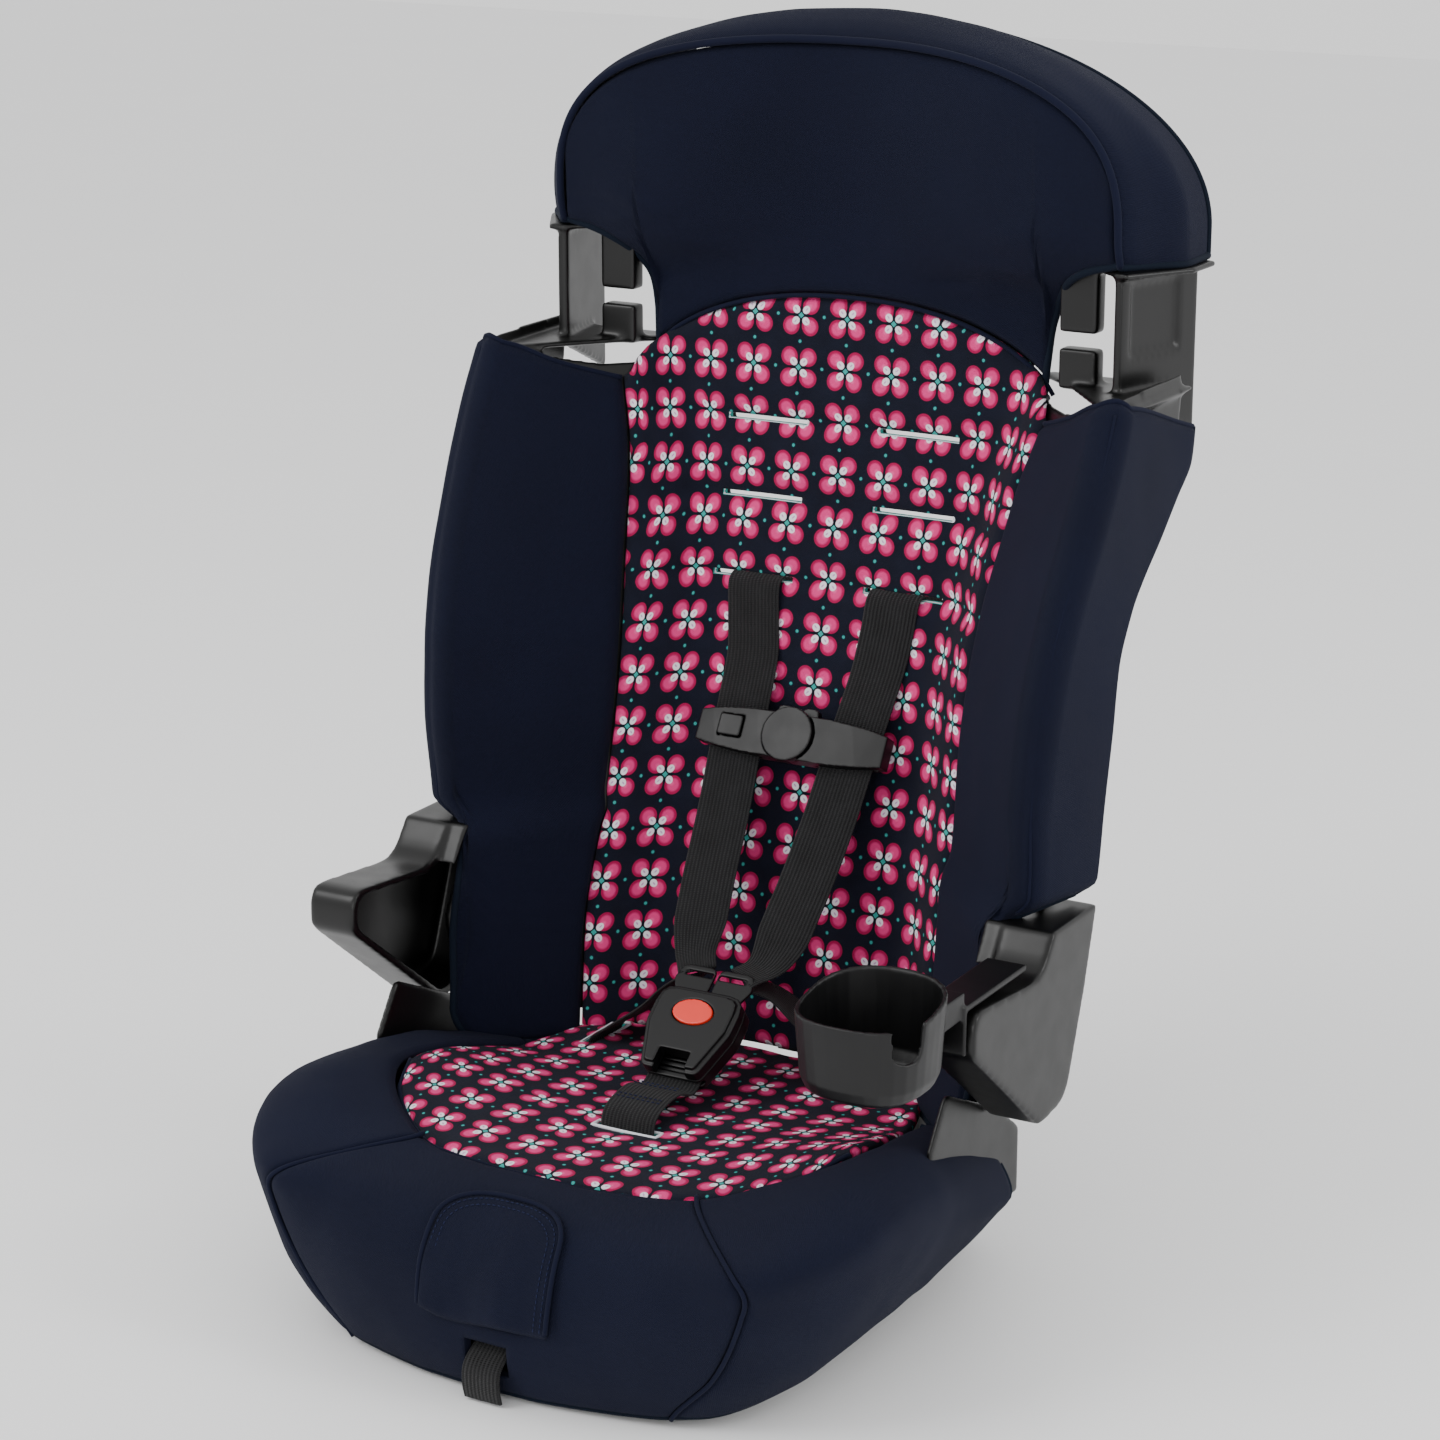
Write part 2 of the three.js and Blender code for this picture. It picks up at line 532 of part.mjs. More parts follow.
const ringCurves = COVER_RINGS.map((half) => {
  const left = half.slice(1).reverse().map(([x, y, z]) => [-x, y, z]);
  return new THREE.CatmullRomCurve3([...left, ...half].map((p) => new THREE.Vector3(...p)), false, "centripetal");
});
// a place on the seat cover: u 0..1 from the right rear round the front to the left rear, v 0..1 upwards
function coverPoint(u, v) {
  const column = ringCurves.map((ring) => ring.getPoint(u));
  return new THREE.CatmullRomCurve3(column, false, "centripetal").getPoint(v);
}
function coverAt(u, v, depth) {
  const e = 0.01;
  const du = coverPoint(Math.min(u + e, 1), v).sub(coverPoint(Math.max(u - e, 0), v));
  const dv = coverPoint(u, Math.min(v + e, 1)).sub(coverPoint(u, Math.max(v - e, 0)));
  const inward = dv.cross(du).normalize();
  return coverPoint(u, v).addScaledVector(inward, depth).toArray();
}
const SEAM_U = 3 / 14; // the two front corner seams, measured from the middle
const seatPanel = (u0, u1, columns) => sheet(columns, 7, (u, v, side) => coverAt(mix(u0, u1, u), v * 0.985,
  side ? PAD - 1 : 0));
const frontPanel = seatPanel(0.5 - SEAM_U + 0.003, 0.5 + SEAM_U - 0.003, 12);
const sidePanel = seatPanel(0.5 + SEAM_U + 0.003, 1, 9);

// seat insert: dished surface inside the last ring of the cover
const SEAT_REAR = 126;
const insertEdge = curve([[0, -139], [52, -136], [88, -128], [112, -113], [142, -84], [157, -50]]);
const seatHalf = curve([[-139, 157], [-46, 157], [12, 152], [74, 139], [SEAT_REAR, 120]]);
const seatMid = curve([[-139, 116], [-90, 114], [-43, 111], [40, 106], [SEAT_REAR, 106]]);
const seatEdge = curve([[-139, 117], [-113, 122], [-84, 129], [-46, 132], [12, 119], [74, 103], [SEAT_REAR, 104]]);
function seatPoint(share, v, depth) {
  const x0 = 157 * (1.3 * share - 0.3 * share ** 3);
  const y = mix(insertEdge(Math.abs(x0)) + 1.5, SEAT_REAR, v);
  const x = x0 / 157 * (seatHalf(y) - 2.5);
  const lift = Math.min(Math.abs(x) / seatHalf(y), 1) ** 2.2;
  const front = insertEdge(Math.abs(x0));
  const z = mix(seatMid(y), Math.max(seatEdge(Math.max(y, front)), seatMid(y)), lift);
  return [x, y, z - depth];
}
const seatInsert = sheet(12, 8, (u, v, side) => seatPoint(2 * u - 1, v, side ? 7 : 0));

// moulded base, open underneath, with an ear at each side for the armrest to come down on
const BASE_RINGS = [
  { z: 0, half: [[0, -188], [60, -183], [106, -170], [134, -146], [144, -110], [146, 60], [134, 140], [106, 164]] },
  { z: 34, half: [[0, -191], [64, -187], [116, -178], [148, -156], [168, -122], [174, 60], [156, 148], [116, 168]] },
  { z: 74, half: [[0, -187], [70, -186], [124, -181], [160, -166], [188, -130], [194, 60], [172, 152], [124, 171]] },
  { z: 88, half: [[0, -172], [70, -170], [120, -164], [152, -148], [178, -118], [186, 58], [166, 148], [120, 168]] },
];
const FLOOR_DEPTH = 3.5;
function baseBody(inset, lift, drop) {
  return loft(BASE_RINGS.map(({ z, half }, k) => {
    const full = [...half, ...half.slice(1).reverse().map(([x, y]) => [-x, y])];
    const level = k === 0 ? z - drop : z - lift;
    return grown(full, -inset).map(([x, y]) => [x, y, level]);
  }));
}
const earSide = rounded([[-34, 66], [-27, 130], [-6, 161, 6], [61, 130, 6], [98, 104, 8], [98, 60]], 3);
const EAR = { inner: 194.5, outer: 198.5 };
const earRoot = [[-32, 62], [-32, 84], [98, 84], [98, 62]];
const ear = union(sidePlate(earSide, EAR.inner, EAR.outer), sidePlate(earRoot, 184, EAR.inner + 1));
const sidePanelClear = cut(sidePanel, sidePlate(grown(earSide, CLEAR), EAR.inner - CLEAR, EAR.outer + CLEAR),
  sidePlate(grown(earRoot, CLEAR), 184, 197));
const baseEar = (x) => union(
  loft([x - 3, x + 3].map((k) => [[k, 128, 80], [k, 138, 94], [k, 150, 99], [k, 162, 94], [k, 168, 80]])),
);
const EAR_X = 106;
const hipSlot = (side) => box(side * 103 - 5, side * 103 + 5, 78, 122, 60, 112);
const crotchSlot = box(-22, 22, -48, -40, 60, 124);
const adjusterSlot = box(-24, 24, -210, -150, 50, 79);
const baseShell = cut(
  union(baseBody(0, 0, 0), ear, mirrored(ear)),
  baseBody(FLOOR_DEPTH, FLOOR_DEPTH, 2),
  box(-130, 130, 131, 166, 60, 100),
  adjusterSlot, crotchSlot, hipSlot(1), hipSlot(-1), box(-21, 21, 160, 180, 60, 71),
);
const baseMoulding = cut(
  union(baseShell, baseEar(EAR_X), baseEar(-EAR_X), box(-EAR_X - 3, -EAR_X + 3, 126, 170, 74, 88),
    box(EAR_X - 3, EAR_X + 3, 126, 170, 74, 88)),
  pinHole,
);
const pivotPin = (side) => rod(PIN_RADIUS, 26, "x", [side * 101, PIVOT.y, PIVOT.z], 20);

// foam between the moulded base and the insert
const seatFoam = sheet(8, 5, (u, v, side) => {
  const [x, y, z] = seatPoint((2 * u - 1) * 0.94, mix(0.03, 0.9, v), 10.5);
  return side ? [x, y, 89.5] : [x, y, Math.max(z, 92)];
});

// ---------------------------------------------------------------- harness
const STRAP_X = 51; // middle of a shoulder strap where it leaves its slot
const TONGUE = { x: 27, y: 84, z: 170 };
const straight = (a, b, t) => a.map((p, i) => mix(p, b[i], t));
const CLIP_FROM = [46, 196, 352]; // the shoulder strap runs straight between these two places
const CLIP_TO = [38, 144, 262];
function shoulderPath(side) {
  const top = SLOT_HEIGHTS[0];
  const points = [
    [STRAP_X, 262, 330], [STRAP_X, 243, 388], [STRAP_X, 228, top + 0.5], [STRAP_X, 208, top - 1], [49, 202, 376],
    CLIP_FROM, straight(CLIP_FROM, CLIP_TO, 0.33), straight(CLIP_FROM, CLIP_TO, 0.66), CLIP_TO,
    [33, 112, 216], [TONGUE.x + 1, TONGUE.y + 4, TONGUE.z + 12],
  ];
  return points.map(([x, y, z]) => [side * x, y, z]);
}
const shoulderStrap = (side) => strap(shoulderPath(side), () => [1, 0, 0], WEBBING, WEB_THICK, 26);
const hipStrap = (side) => strap([
  [side * (TONGUE.x + 6), TONGUE.y + 5, TONGUE.z - 9], [side * 58, 95, 140], [side * 88, 99, 119],
  [side * 102.5, 100, 108], [side * 104, 100, 98], [side * 104, 100, 88],
], (t) => [side * mix(0.5, 0, t), -1, 0], WEBBING, WEB_THICK, 14);

// buckle, lying back on the crotch strap: local +Y runs up the buckle, local +Z out of its front
const BUCKLE = { y: 38, z: 150, lean: 38 };
function onBuckle(geometry) {
  return geometry.rotateX(THREE.MathUtils.degToRad(BUCKLE.lean)).translate(0, BUCKLE.y, BUCKLE.z);
}
const buckleOutline = rounded([[-20, -36, 6], [-30, -4, 12], [-30, 24, 12], [30, 24, 12], [30, -4, 12], [20, -36, 6]], 3);
const slab = (outline, z0, z1) => loft([z0, z1].map((z) => outline.map(([x, y]) => [x, y, z])));
const oval = (a, b, n = 24) => Array.from({ length: n }, (_, i) => {
  const t = (i / n) * 2 * Math.PI;
  return [a * Math.cos(t), b * Math.sin(t)];
});
const shifted = (outline, dx, dy) => outline.map(([x, y]) => [x + dx, y + dy]);
const BUTTON = { a: 14, b: 9, y: 6 };
const frontHousing = cut(
  union(slab(buckleOutline, 0.4, 8), slab(grown(buckleOutline, -3), 7.5, 10.5)),
  slab(shifted(oval(BUTTON.a + 0.5, BUTTON.b + 0.5), 0, BUTTON.y), 2, 20),
  slab([[-25, 12], [25, 12], [25, 30], [-25, 30]], -1, 3.4),
  slab([[-11, -40], [11, -40], [11, -22], [-11, -22]], -1, 20),
);
const rearHousing = cut(slab(buckleOutline, -10, 0), slab([[-20.5, -40], [20.5, -40], [20.5, -8], [-20.5, -8]], -6, -2.4),
  slab(grown(buckleOutline, -4), -2, 1));
const buckleButton = slab(shifted(oval(BUTTON.a, BUTTON.b), 0, BUTTON.y), 6.2, 11.4);
const buckleSpring = rod(3, 2.2, "z", [0, BUTTON.y, 4.9], 16);
const latchPlate = slab([[-13, -3], [13, -3], [13, 11], [-13, 11]], -1.4, 0.1);
function tongue(side) {
  const plate = slab(rounded([[2, 13], [24, 13], [24, 24], [28, 32, 6], [26, 44, 6], [1.2, 44, 4], [1.2, 28, 3]], 2), 0.2, 2.8);
  const bar = slab([[2, 36.5], [22, 36.5], [22, 40], [2, 40]], -2, 6);
  const body = cut(plate, bar);
  return side > 0 ? body : mirrored(body);
}
const crotchPath = [[0, -44, 78], [0, -44, 112], [0, -40, 121], [0, -14, 127], [0, 6, 121.5], [0, 17, 128.5]];
const crotchStrap = strap(crotchPath, () => [1, 0, 0], WEBBING, WEB_THICK, 16);
const crotchPlate = cut(box(-28, 28, -54, -34, 75, 77.6), box(-20, 20, -45.5, -42.5, 70, 80));

// chest clip across the shoulder straps, with its face square to the straps
const clipAlong = new THREE.Vector3(0, CLIP_FROM[1] - CLIP_TO[1], CLIP_FROM[2] - CLIP_TO[2]).normalize();
const CLIP = { at: straight(CLIP_FROM, CLIP_TO, 0.5), half: 68, high: 30 };
function onClip(geometry) {
  const tilt = Math.atan2(clipAlong.z, clipAlong.y);
  return geometry.rotateX(tilt).translate(0, CLIP.at[1], CLIP.at[2]);
}
// local x across the clip, local y up the straps, local z out of its front
const clipOutline = (x0, x1) => {
  const top = [];
  const foot = [];
  for (let i = 0; i <= 8; i += 1) {
    const x = mix(x0, x1, i / 8);
    const half = CLIP.high / 2 * (1 - 0.32 * (Math.abs(x) / CLIP.half) ** 3);
    top.push([x, half - 2]);
    foot.unshift([x, -half - 2]);
  }
  return [...foot, ...top];
};
const bowed = (geometry) => {
  const p = geometry.getAttribute("position");
  for (let i = 0; i < p.count; i += 1) {
    if (p.getZ(i) > 3) p.setZ(i, p.getZ(i) - 4.5 * (p.getX(i) / CLIP.half) ** 2);
  }
  return geometry;
};
const webWay = (side) => slab([[side * 42 - 22, -40], [side * 42 + 22, -40], [side * 42 + 22, 40],
  [side * 42 - 22, 40]], -1.6, 1.6);
const TAB_HALF = 9;
const clipTabs = slab(rounded([[3, 10], [3, 19, 3], [TAB_HALF + 6, 19, 3], [TAB_HALF + 6, 10]], 2), -1, 5);
const clipLeft = cut(
  union(bowed(slab(clipOutline(0.4, CLIP.half), -4.5, 12)), clipTabs),
  webWay(1), slab(shifted(oval(18.4, 18.4, 32), 0, -1), 8, 20),
);
const latchWell = slab([[-52, -8], [-34, -8], [-34, 7], [-52, 7]], 6.5, 20);
const clipRight = cut(
  union(bowed(slab(clipOutline(-CLIP.half, -0.4), -4.5, 12)), mirrored(clipTabs)),
  webWay(-1), slab(shifted(oval(18.4, 18.4, 32), 0, -1), 8, 20), latchWell,
);
const clipDisc = slab(shifted(oval(18, 18, 32), 0, -1), 8.3, 14);
const clipLatch = slab(rounded([[-51.5, -7.5, 2], [-34.5, -7.5, 2], [-34.5, 6.5, 2], [-51.5, 6.5, 2]], 2), 8.2, 11.6);

// splitter plate behind the shell, and the single strap from it down to the adjuster
const YOKE = { y: 265, z: 300 };
const yoke = cut(
  loft([YOKE.y - 1.5, YOKE.y + 1.5].map((y) => [[-34, y, YOKE.z + 24], [34, y, YOKE.z + 24], [34, y, YOKE.z + 8],
    [24, y, YOKE.z - 16], [-24, y, YOKE.z - 16], [-34, y, YOKE.z + 8]])),
  box(-20, 20, 250, 280, YOKE.z - 10, YOKE.z - 5),
);
const rearStrap = strap([[0, 262.6, YOKE.z - 18], [0, 240, 240], [0, 212, 160], [0, 190, 110], [0, 183, 84]], () => [1, 0, 0],
  WEBBING, WEB_THICK, 10);
const underStrap = strap([[0, 181, 66], [0, 150, 62], [0, 40, 61], [0, -100, 63], [0, -176, 70.6]], () => [1, 0, 0], WEBBING,
  WEB_THICK, 10);

const pullSlit = box(-14.5, 14.5, -220, -190, 17, 37); // in the cover, for the pull strap

// harness adjuster behind the flap at the front of the seat
const ADJ = { y: -182, z: 64 };
const adjusterFrame = cut(
  box(-23, 23, ADJ.y - 16, ADJ.y + 12, ADJ.z - 12, ADJ.z + 12),
  box(-20.6, 20.6, ADJ.y - 18, ADJ.y + 14, ADJ.z - 10, ADJ.z + 14),
  rod(2.05, 60, "x", [0, ADJ.y, ADJ.z], 16),
);
const adjusterPin = rod(2, 46, "x", [0, ADJ.y, ADJ.z], 16);
const adjusterLever = cut(
  union(rod(5, 38, "x", [0, ADJ.y, ADJ.z], 20), box(-19, 19, ADJ.y - 21, ADJ.y, ADJ.z + 0.6, ADJ.z + 4.6)),
  rod(2.1, 60, "x", [0, ADJ.y, ADJ.z], 16),
);
const pullStrap = strap([[0, -197, 32], [0, -210, 22], [0, -211, 10], [0, -209, 1.5]], () => [1, 0, 0], 26, 2, 8);

// fabric flap over the adjuster, lying on the seat cover: arched top, free lower edge
const FLAP = { spread: 0.057, foot: 0.26, shoulder: 0.56, rise: 0.2 };
const flap = sheet(10, 7, (u, v, side) => {
  const share = 2 * u - 1;
  const arch = Math.sqrt(Math.max(1 - Math.abs(share) ** 2.6, 0));
  return coverAt(0.5 + FLAP.spread * share, mix(FLAP.foot, FLAP.shoulder + FLAP.rise * arch, v), side ? -2 : -4.4);
});

// cup holder hooked over the tip of the left armrest
const cupOutline = (radius, z, n = 32) => Array.from({ length: n }, (_, i) => {
  const t = (i / n) * 2 * Math.PI;
  const [c, d] = [Math.cos(t), Math.sin(t)];
  const k = radius / (Math.abs(c) ** 2.6 + Math.abs(d) ** 2.6) ** (1 / 2.6);
  return [CUP.x + k * c, CUP.y + k * d, z > CUP.top - 1 ? z + CUP.tilt * Math.max(d, -0.3) : z];
});
const cupSolid = loft([[CUP.bottom, 31], [CUP.bottom + 3, 35], [CUP.bottom + 10, 38], [CUP.top, CUP.radius]]
  .map(([z, radius]) => cupOutline(radius, z)));
const cupRoom = loft([[CUP.bottom + 2.6, 31], [CUP.bottom + 11, 35.4], [CUP.top + 1, CUP.radius - CUP.wall]]
  .map(([z, radius]) => cupOutline(radius, z)));
const cupNotch = loft([CUP.x + 24, CUP.x + 60].map((x) => rounded([[CUP.y - 32, CUP.top + 20], [CUP.y - 10, CUP.top + 20],
  [CUP.y - 13, CUP.top - 25, 9], [CUP.y - 31, CUP.top - 22, 9]], 3).map(([y, z]) => [x, y, z])));
const cupHook = union(
  box(204, 230, -47, 34, 232.2, 236), box(204, 230, -49.5, -46.3, 206, 236), box(206, 228, -74, -46.3, 228, 244),
);
const cupHolder = cut(union(cupSolid, cupHook), cupRoom, cupNotch);

// ---------------------------------------------------------------- assembly
const group = new THREE.Group();
const looks = {
  navy: { color: 0x20263a, roughness: 0.85, metalness: 0 },
  floral: { color: 0x8c2b5c, roughness: 0.85, metalness: 0 },
  plastic: { color: 0x1a1a1c, roughness: 0.35, metalness: 0 },
  foam: { color: 0xe8e8e6, roughness: 0.95, metalness: 0 },
  webbing: { color: 0x3a3a3c, roughness: 0.9, metalness: 0 },
  red: { color: 0xe0301f, roughness: 0.35, metalness: 0 },
  steel: { color: 0x9a9ca0, roughness: 0.4, metalness: 1 },
};

function part(name, geometry, look) {
  const body = geometry.getIndex() ? geometry.clone() : mergeVertices(geometry);
  body.deleteAttribute("normal");
  body.computeVertexNormals();
  body.translate(0, -CENTRE_Y, 0);
  const mesh = new THREE.Mesh(body, new THREE.MeshStandardMaterial(looks[look]));
  mesh.name = name;
  group.add(mesh);
}

part("back_insert", cut(backInsert, ...slotCutters), "floral");
part("wing_cover_left", wingClear, "navy");
part("wing_cover_right", mirrored(wingClear), "navy");
part("head_cover", headClear, "navy");
part("head_gusset", headGusset, "navy");
part("head_foam", headFoam, "foam");
part("back_shell", backShell, "plastic");
part("seat_cover_front", cut(frontPanel, box(-25, 25, -220, -180, 48, 80), pullSlit), "navy");
part("seat_cover_left", sidePanelClear, "navy");
part("seat_cover_right", mirrored(sidePanelClear), "navy");
part("seat_insert", cut(seatInsert, crotchSlot, hipSlot(1), hipSlot(-1)), "floral");
part("seat_foam", cut(seatFoam, crotchSlot, hipSlot(1), hipSlot(-1)), "foam");
part("base_shell", baseMoulding, "plastic");
part("pivot_pin_left", pivotPin(1), "plastic");
part("pivot_pin_right", pivotPin(-1), "plastic");

part("shoulder_strap_left", shoulderStrap(1), "webbing");
part("shoulder_strap_right", shoulderStrap(-1), "webbing");
part("hip_strap_left", hipStrap(1), "webbing");
part("hip_strap_right", hipStrap(-1), "webbing");
part("crotch_strap", crotchStrap, "webbing");
part("crotch_strap_plate", crotchPlate, "steel");
part("buckle_front_housing", onBuckle(frontHousing), "plastic");
part("buckle_rear_housing", onBuckle(rearHousing), "plastic");
part("buckle_button", onBuckle(buckleButton), "red");
part("buckle_spring", onBuckle(buckleSpring), "steel");
part("buckle_latch_plate", onBuckle(latchPlate), "steel");
part("buckle_tongue_left", onBuckle(tongue(1)), "plastic");
part("buckle_tongue_right", onBuckle(tongue(-1)), "plastic");
part("chest_clip_left", onClip(clipLeft), "plastic");
part("chest_clip_right", onClip(clipRight), "plastic");
part("chest_clip_disc", onClip(clipDisc), "plastic");
part("chest_clip_latch", onClip(clipLatch), "plastic");
part("harness_splitter_plate", yoke, "steel");
part("harness_rear_strap", rearStrap, "webbing");
part("harness_under_strap", underStrap, "webbing");
part("adjuster_frame", adjusterFrame, "steel");
part("adjuster_pin", adjusterPin, "steel");
part("adjuster_lever", adjusterLever, "plastic");
part("pull_strap", pullStrap, "webbing");
part("front_flap", flap, "navy");
part("cup_holder", cupHolder, "plastic");

export default group;
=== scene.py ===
import json
import math

import bmesh
import bpy
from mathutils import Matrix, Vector, noise


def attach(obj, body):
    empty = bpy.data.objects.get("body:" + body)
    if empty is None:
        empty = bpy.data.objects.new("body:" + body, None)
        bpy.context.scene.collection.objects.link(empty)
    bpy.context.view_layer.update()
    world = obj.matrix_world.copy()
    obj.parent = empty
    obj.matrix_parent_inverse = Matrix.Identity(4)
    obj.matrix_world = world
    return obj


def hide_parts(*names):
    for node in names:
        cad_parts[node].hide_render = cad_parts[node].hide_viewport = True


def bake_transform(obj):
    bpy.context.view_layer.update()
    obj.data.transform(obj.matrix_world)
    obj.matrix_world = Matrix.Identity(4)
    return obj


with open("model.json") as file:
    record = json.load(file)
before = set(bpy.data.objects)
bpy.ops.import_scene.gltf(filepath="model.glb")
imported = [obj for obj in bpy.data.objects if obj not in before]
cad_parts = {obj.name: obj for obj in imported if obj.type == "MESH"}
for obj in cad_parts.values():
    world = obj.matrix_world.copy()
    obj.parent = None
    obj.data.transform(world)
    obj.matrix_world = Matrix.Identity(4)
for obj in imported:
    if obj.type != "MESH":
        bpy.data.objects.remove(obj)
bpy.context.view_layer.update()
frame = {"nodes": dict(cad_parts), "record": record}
NODES = frame["nodes"]

# ------------------------------------------------------------------ the seat's own measures, in millimetres
CENTRE_Y = 39.0
PAD = 7.0
WEBBING = 38.0
SLOT_HEIGHTS = (399.0, 450.0, 500.0)
SLOT_X = 55.0
SLOT_WIDTH = 58.0


def to_row(p):
    """A place in the seat's millimetres, in the row frame's metres."""
    return (p[0] / 1000, (p[1] - CENTRE_Y) / 1000, p[2] / 1000)


def curve(knots):
    """Smooth interpolation through the knots, level beyond both ends."""
    def slope(a, b):
        return (b[1] - a[1]) / (b[0] - a[0])

    def value(t):
        if t <= knots[0][0]:
            return knots[0][1]
        if t >= knots[-1][0]:
            return knots[-1][1]
        i = max(k for k in range(len(knots) - 1) if knots[k][0] <= t)
        (t0, v0), (t1, v1) = knots[i], knots[i + 1]
        mid = slope(knots[i], knots[i + 1])

        def limit(other):
            return 0.0 if other * mid <= 0 else 2 * other * mid / (other + mid)

        m0 = limit(slope(knots[i - 1], knots[i])) if i > 0 else mid
        m1 = limit(slope(knots[i + 1], knots[i + 2])) if i + 2 < len(knots) else mid
        h = t1 - t0
        x = (t - t0) / h
        return (v0 * (1 + 2 * x) * (1 - x) ** 2 + m0 * h * x * (1 - x) ** 2
                + v1 * x * x * (3 - 2 * x) + m1 * h * x * x * (x - 1))
    return value


def mix(a, b, t):
    return a + (b - a) * t


def step(x, low, high):
    t = min(max((x - low) / (high - low), 0.0), 1.0)
    return t * t * (3 - 2 * t)


def centripetal(points):
    """A smooth line through the points, as a function of 0..1."""
    pts = [Vector(p) for p in points]
    last = len(pts) - 1

    def at(t):
        place = min(max(t, 0.0), 1.0) * last
        i = min(int(place), last - 1)
        w = place - i
        p1, p2 = pts[i], pts[i + 1]
        p0 = pts[i - 1] if i > 0 else pts[0] * 2 - pts[1]
        p3 = pts[i + 2] if i + 2 <= last else pts[last] * 2 - pts[last - 1]
        d1 = max((p2 - p1).length ** 0.5, 1e-4)
        d0 = max((p1 - p0).length ** 0.5, 1e-4)
        d2 = max((p3 - p2).length ** 0.5, 1e-4)
        t1 = ((p1 - p0) / d0 - (p2 - p0) / (d0 + d1) + (p2 - p1) / d1) * d1
        t2 = ((p2 - p1) / d1 - (p3 - p1) / (d1 + d2) + (p3 - p2) / d2) * d1
        return (p1 + t1 * w + (p1 * -3 + p2 * 3 - t1 * 2 - t2) * w ** 2
                + (p1 * 2 - p2 * 2 + t1 + t2) * w ** 3)
    return at


back_y = curve([[90, 138], [174, 152], [250, 173], [330, 195], [399, 213], [450, 225], [500, 232], [545, 236],
                [590, 238], [640, 236], [700, 232], [750, 228]])
knee_x = curve([[90, 88], [174, 92], [332, 86], [415, 92], [480, 108], [530, 128], [560, 134]])
knee_sag = curve([[90, 2], [560, 3]])
front_x = curve([[90, 184], [236, 188], [262, 213], [320, 215], [400, 219], [482, 227], [530, 229], [560, 229]])
front_y = curve([[90, 30], [140, 44], [175, 54], [236, 60], [262, 60], [320, 55], [360, 57], [400, 65], [440, 79],
                 [482, 99], [525, 122], [560, 140]])
outer_x = curve([[90, 196], [236, 200], [262, 234], [400, 236], [500, 236], [560, 235]])
rear_y = curve([[90, 40], [236, 70], [258, 130], [306, 136], [345, 142], [391, 150], [423, 168], [440, 186],
                [462, 211], [483, 236], [500, 252], [560, 262]])


def meet(a, u, c, v):
    cross = u.x * v.y - u.y * v.x
    return a + u * (((c.x - a.x) * v.y - (c.y - a.y) * v.x) / cross)


def arc(a, b, c, radius):
    d0, d1 = a - b, c - b
    turn = math.acos(max(-1.0, min(1.0, d0.dot(d1) / d0.length / d1.length)))
    reach = min(radius / math.tan(turn / 2), d0.length * 0.45, d1.length * 0.45)
    real = reach * math.tan(turn / 2)
    p0, p1 = b + d0.normalized() * reach, b + d1.normalized() * reach
    centre = b + ((p0 + p1) / 2 - b).normalized() * (real / math.sin(turn / 2))
    a0 = math.atan2(p0.y - centre.y, p0.x - centre.x)
    sweep = math.atan2(p1.y - centre.y, p1.x - centre.x) - a0
    sweep = (sweep + math.pi) % (2 * math.pi) - math.pi
    return lambda t: centre + Vector((math.cos(a0 + sweep * t), math.sin(a0 + sweep * t))) * real


def torso(s, z, depth):
    """Place on the backrest: s 0 centre, 1-2 knee, 2-3 wing face, 3-4 front edge, 4-5 outer side."""
    side = -1 if s < 0 else 1
    w = abs(s)
    yb = back_y(z) + depth
    knee = Vector((knee_x(z), yb - knee_sag(z)))
    apex = Vector((front_x(z), front_y(z)))
    rear = Vector((outer_x(z) - depth, rear_y(z)))
    face = (apex - Vector((knee_x(z), back_y(z) - knee_sag(z)))).normalized()
    wing = apex + Vector((-face.y, face.x)) * depth
    middle = Vector((0, yb))
    bend = meet(middle, knee - middle, wing, face)
    wall = Vector((outer_x(z) - front_x(z) - 3, rear_y(z) - front_y(z))).normalized()
    tip = meet(bend, face, rear, wall)
    knee_arc = arc(middle, bend, tip, 34 + depth)
    tip_arc = arc(bend, tip, rear, max(14 - depth, 1.5))
    if w <= 1:
        p = middle.lerp(knee_arc(0), w)
    elif w <= 2:
        p = knee_arc(w - 1)
    elif w <= 3:
        p = knee_arc(1).lerp(tip_arc(0), w - 2)
    elif w <= 4:
        p = tip_arc(w - 3)
    else:
        p = tip_arc(1).lerp(rear, w - 4)
    return Vector((side * p.x, p.y, z))


def crease(p, size, seed=0.0):
    """Soft cloth unevenness at a place, about -1 to 1."""
    q = Vector((p[0], p[1], p[2])) / size + Vector((seed, seed * 1.7, -seed))
    return noise.noise(q) + 0.4 * noise.noise(q * 2.3)


# ------------------------------------------------------------------ meshes
def make(name, points, faces, uvs=None, smooth=True):
    mesh = bpy.data.meshes.new(name)
    mesh.from_pydata([to_row(p) for p in points], [], faces)
    if uvs:
        layer = mesh.uv_layers.new(name="flat")
        for loop in mesh.loops:
            layer.data[loop.index].uv = uvs[loop.vertex_index]
    work = bmesh.new()
    work.from_mesh(mesh)
    bmesh.ops.recalc_face_normals(work, faces=work.faces)
    work.to_mesh(mesh)
    work.free()
    mesh.polygons.foreach_set("use_smooth", [smooth] * len(mesh.polygons))
    obj = bpy.data.objects.new(name, mesh)
    bpy.context.scene.collection.objects.link(obj)
    return obj


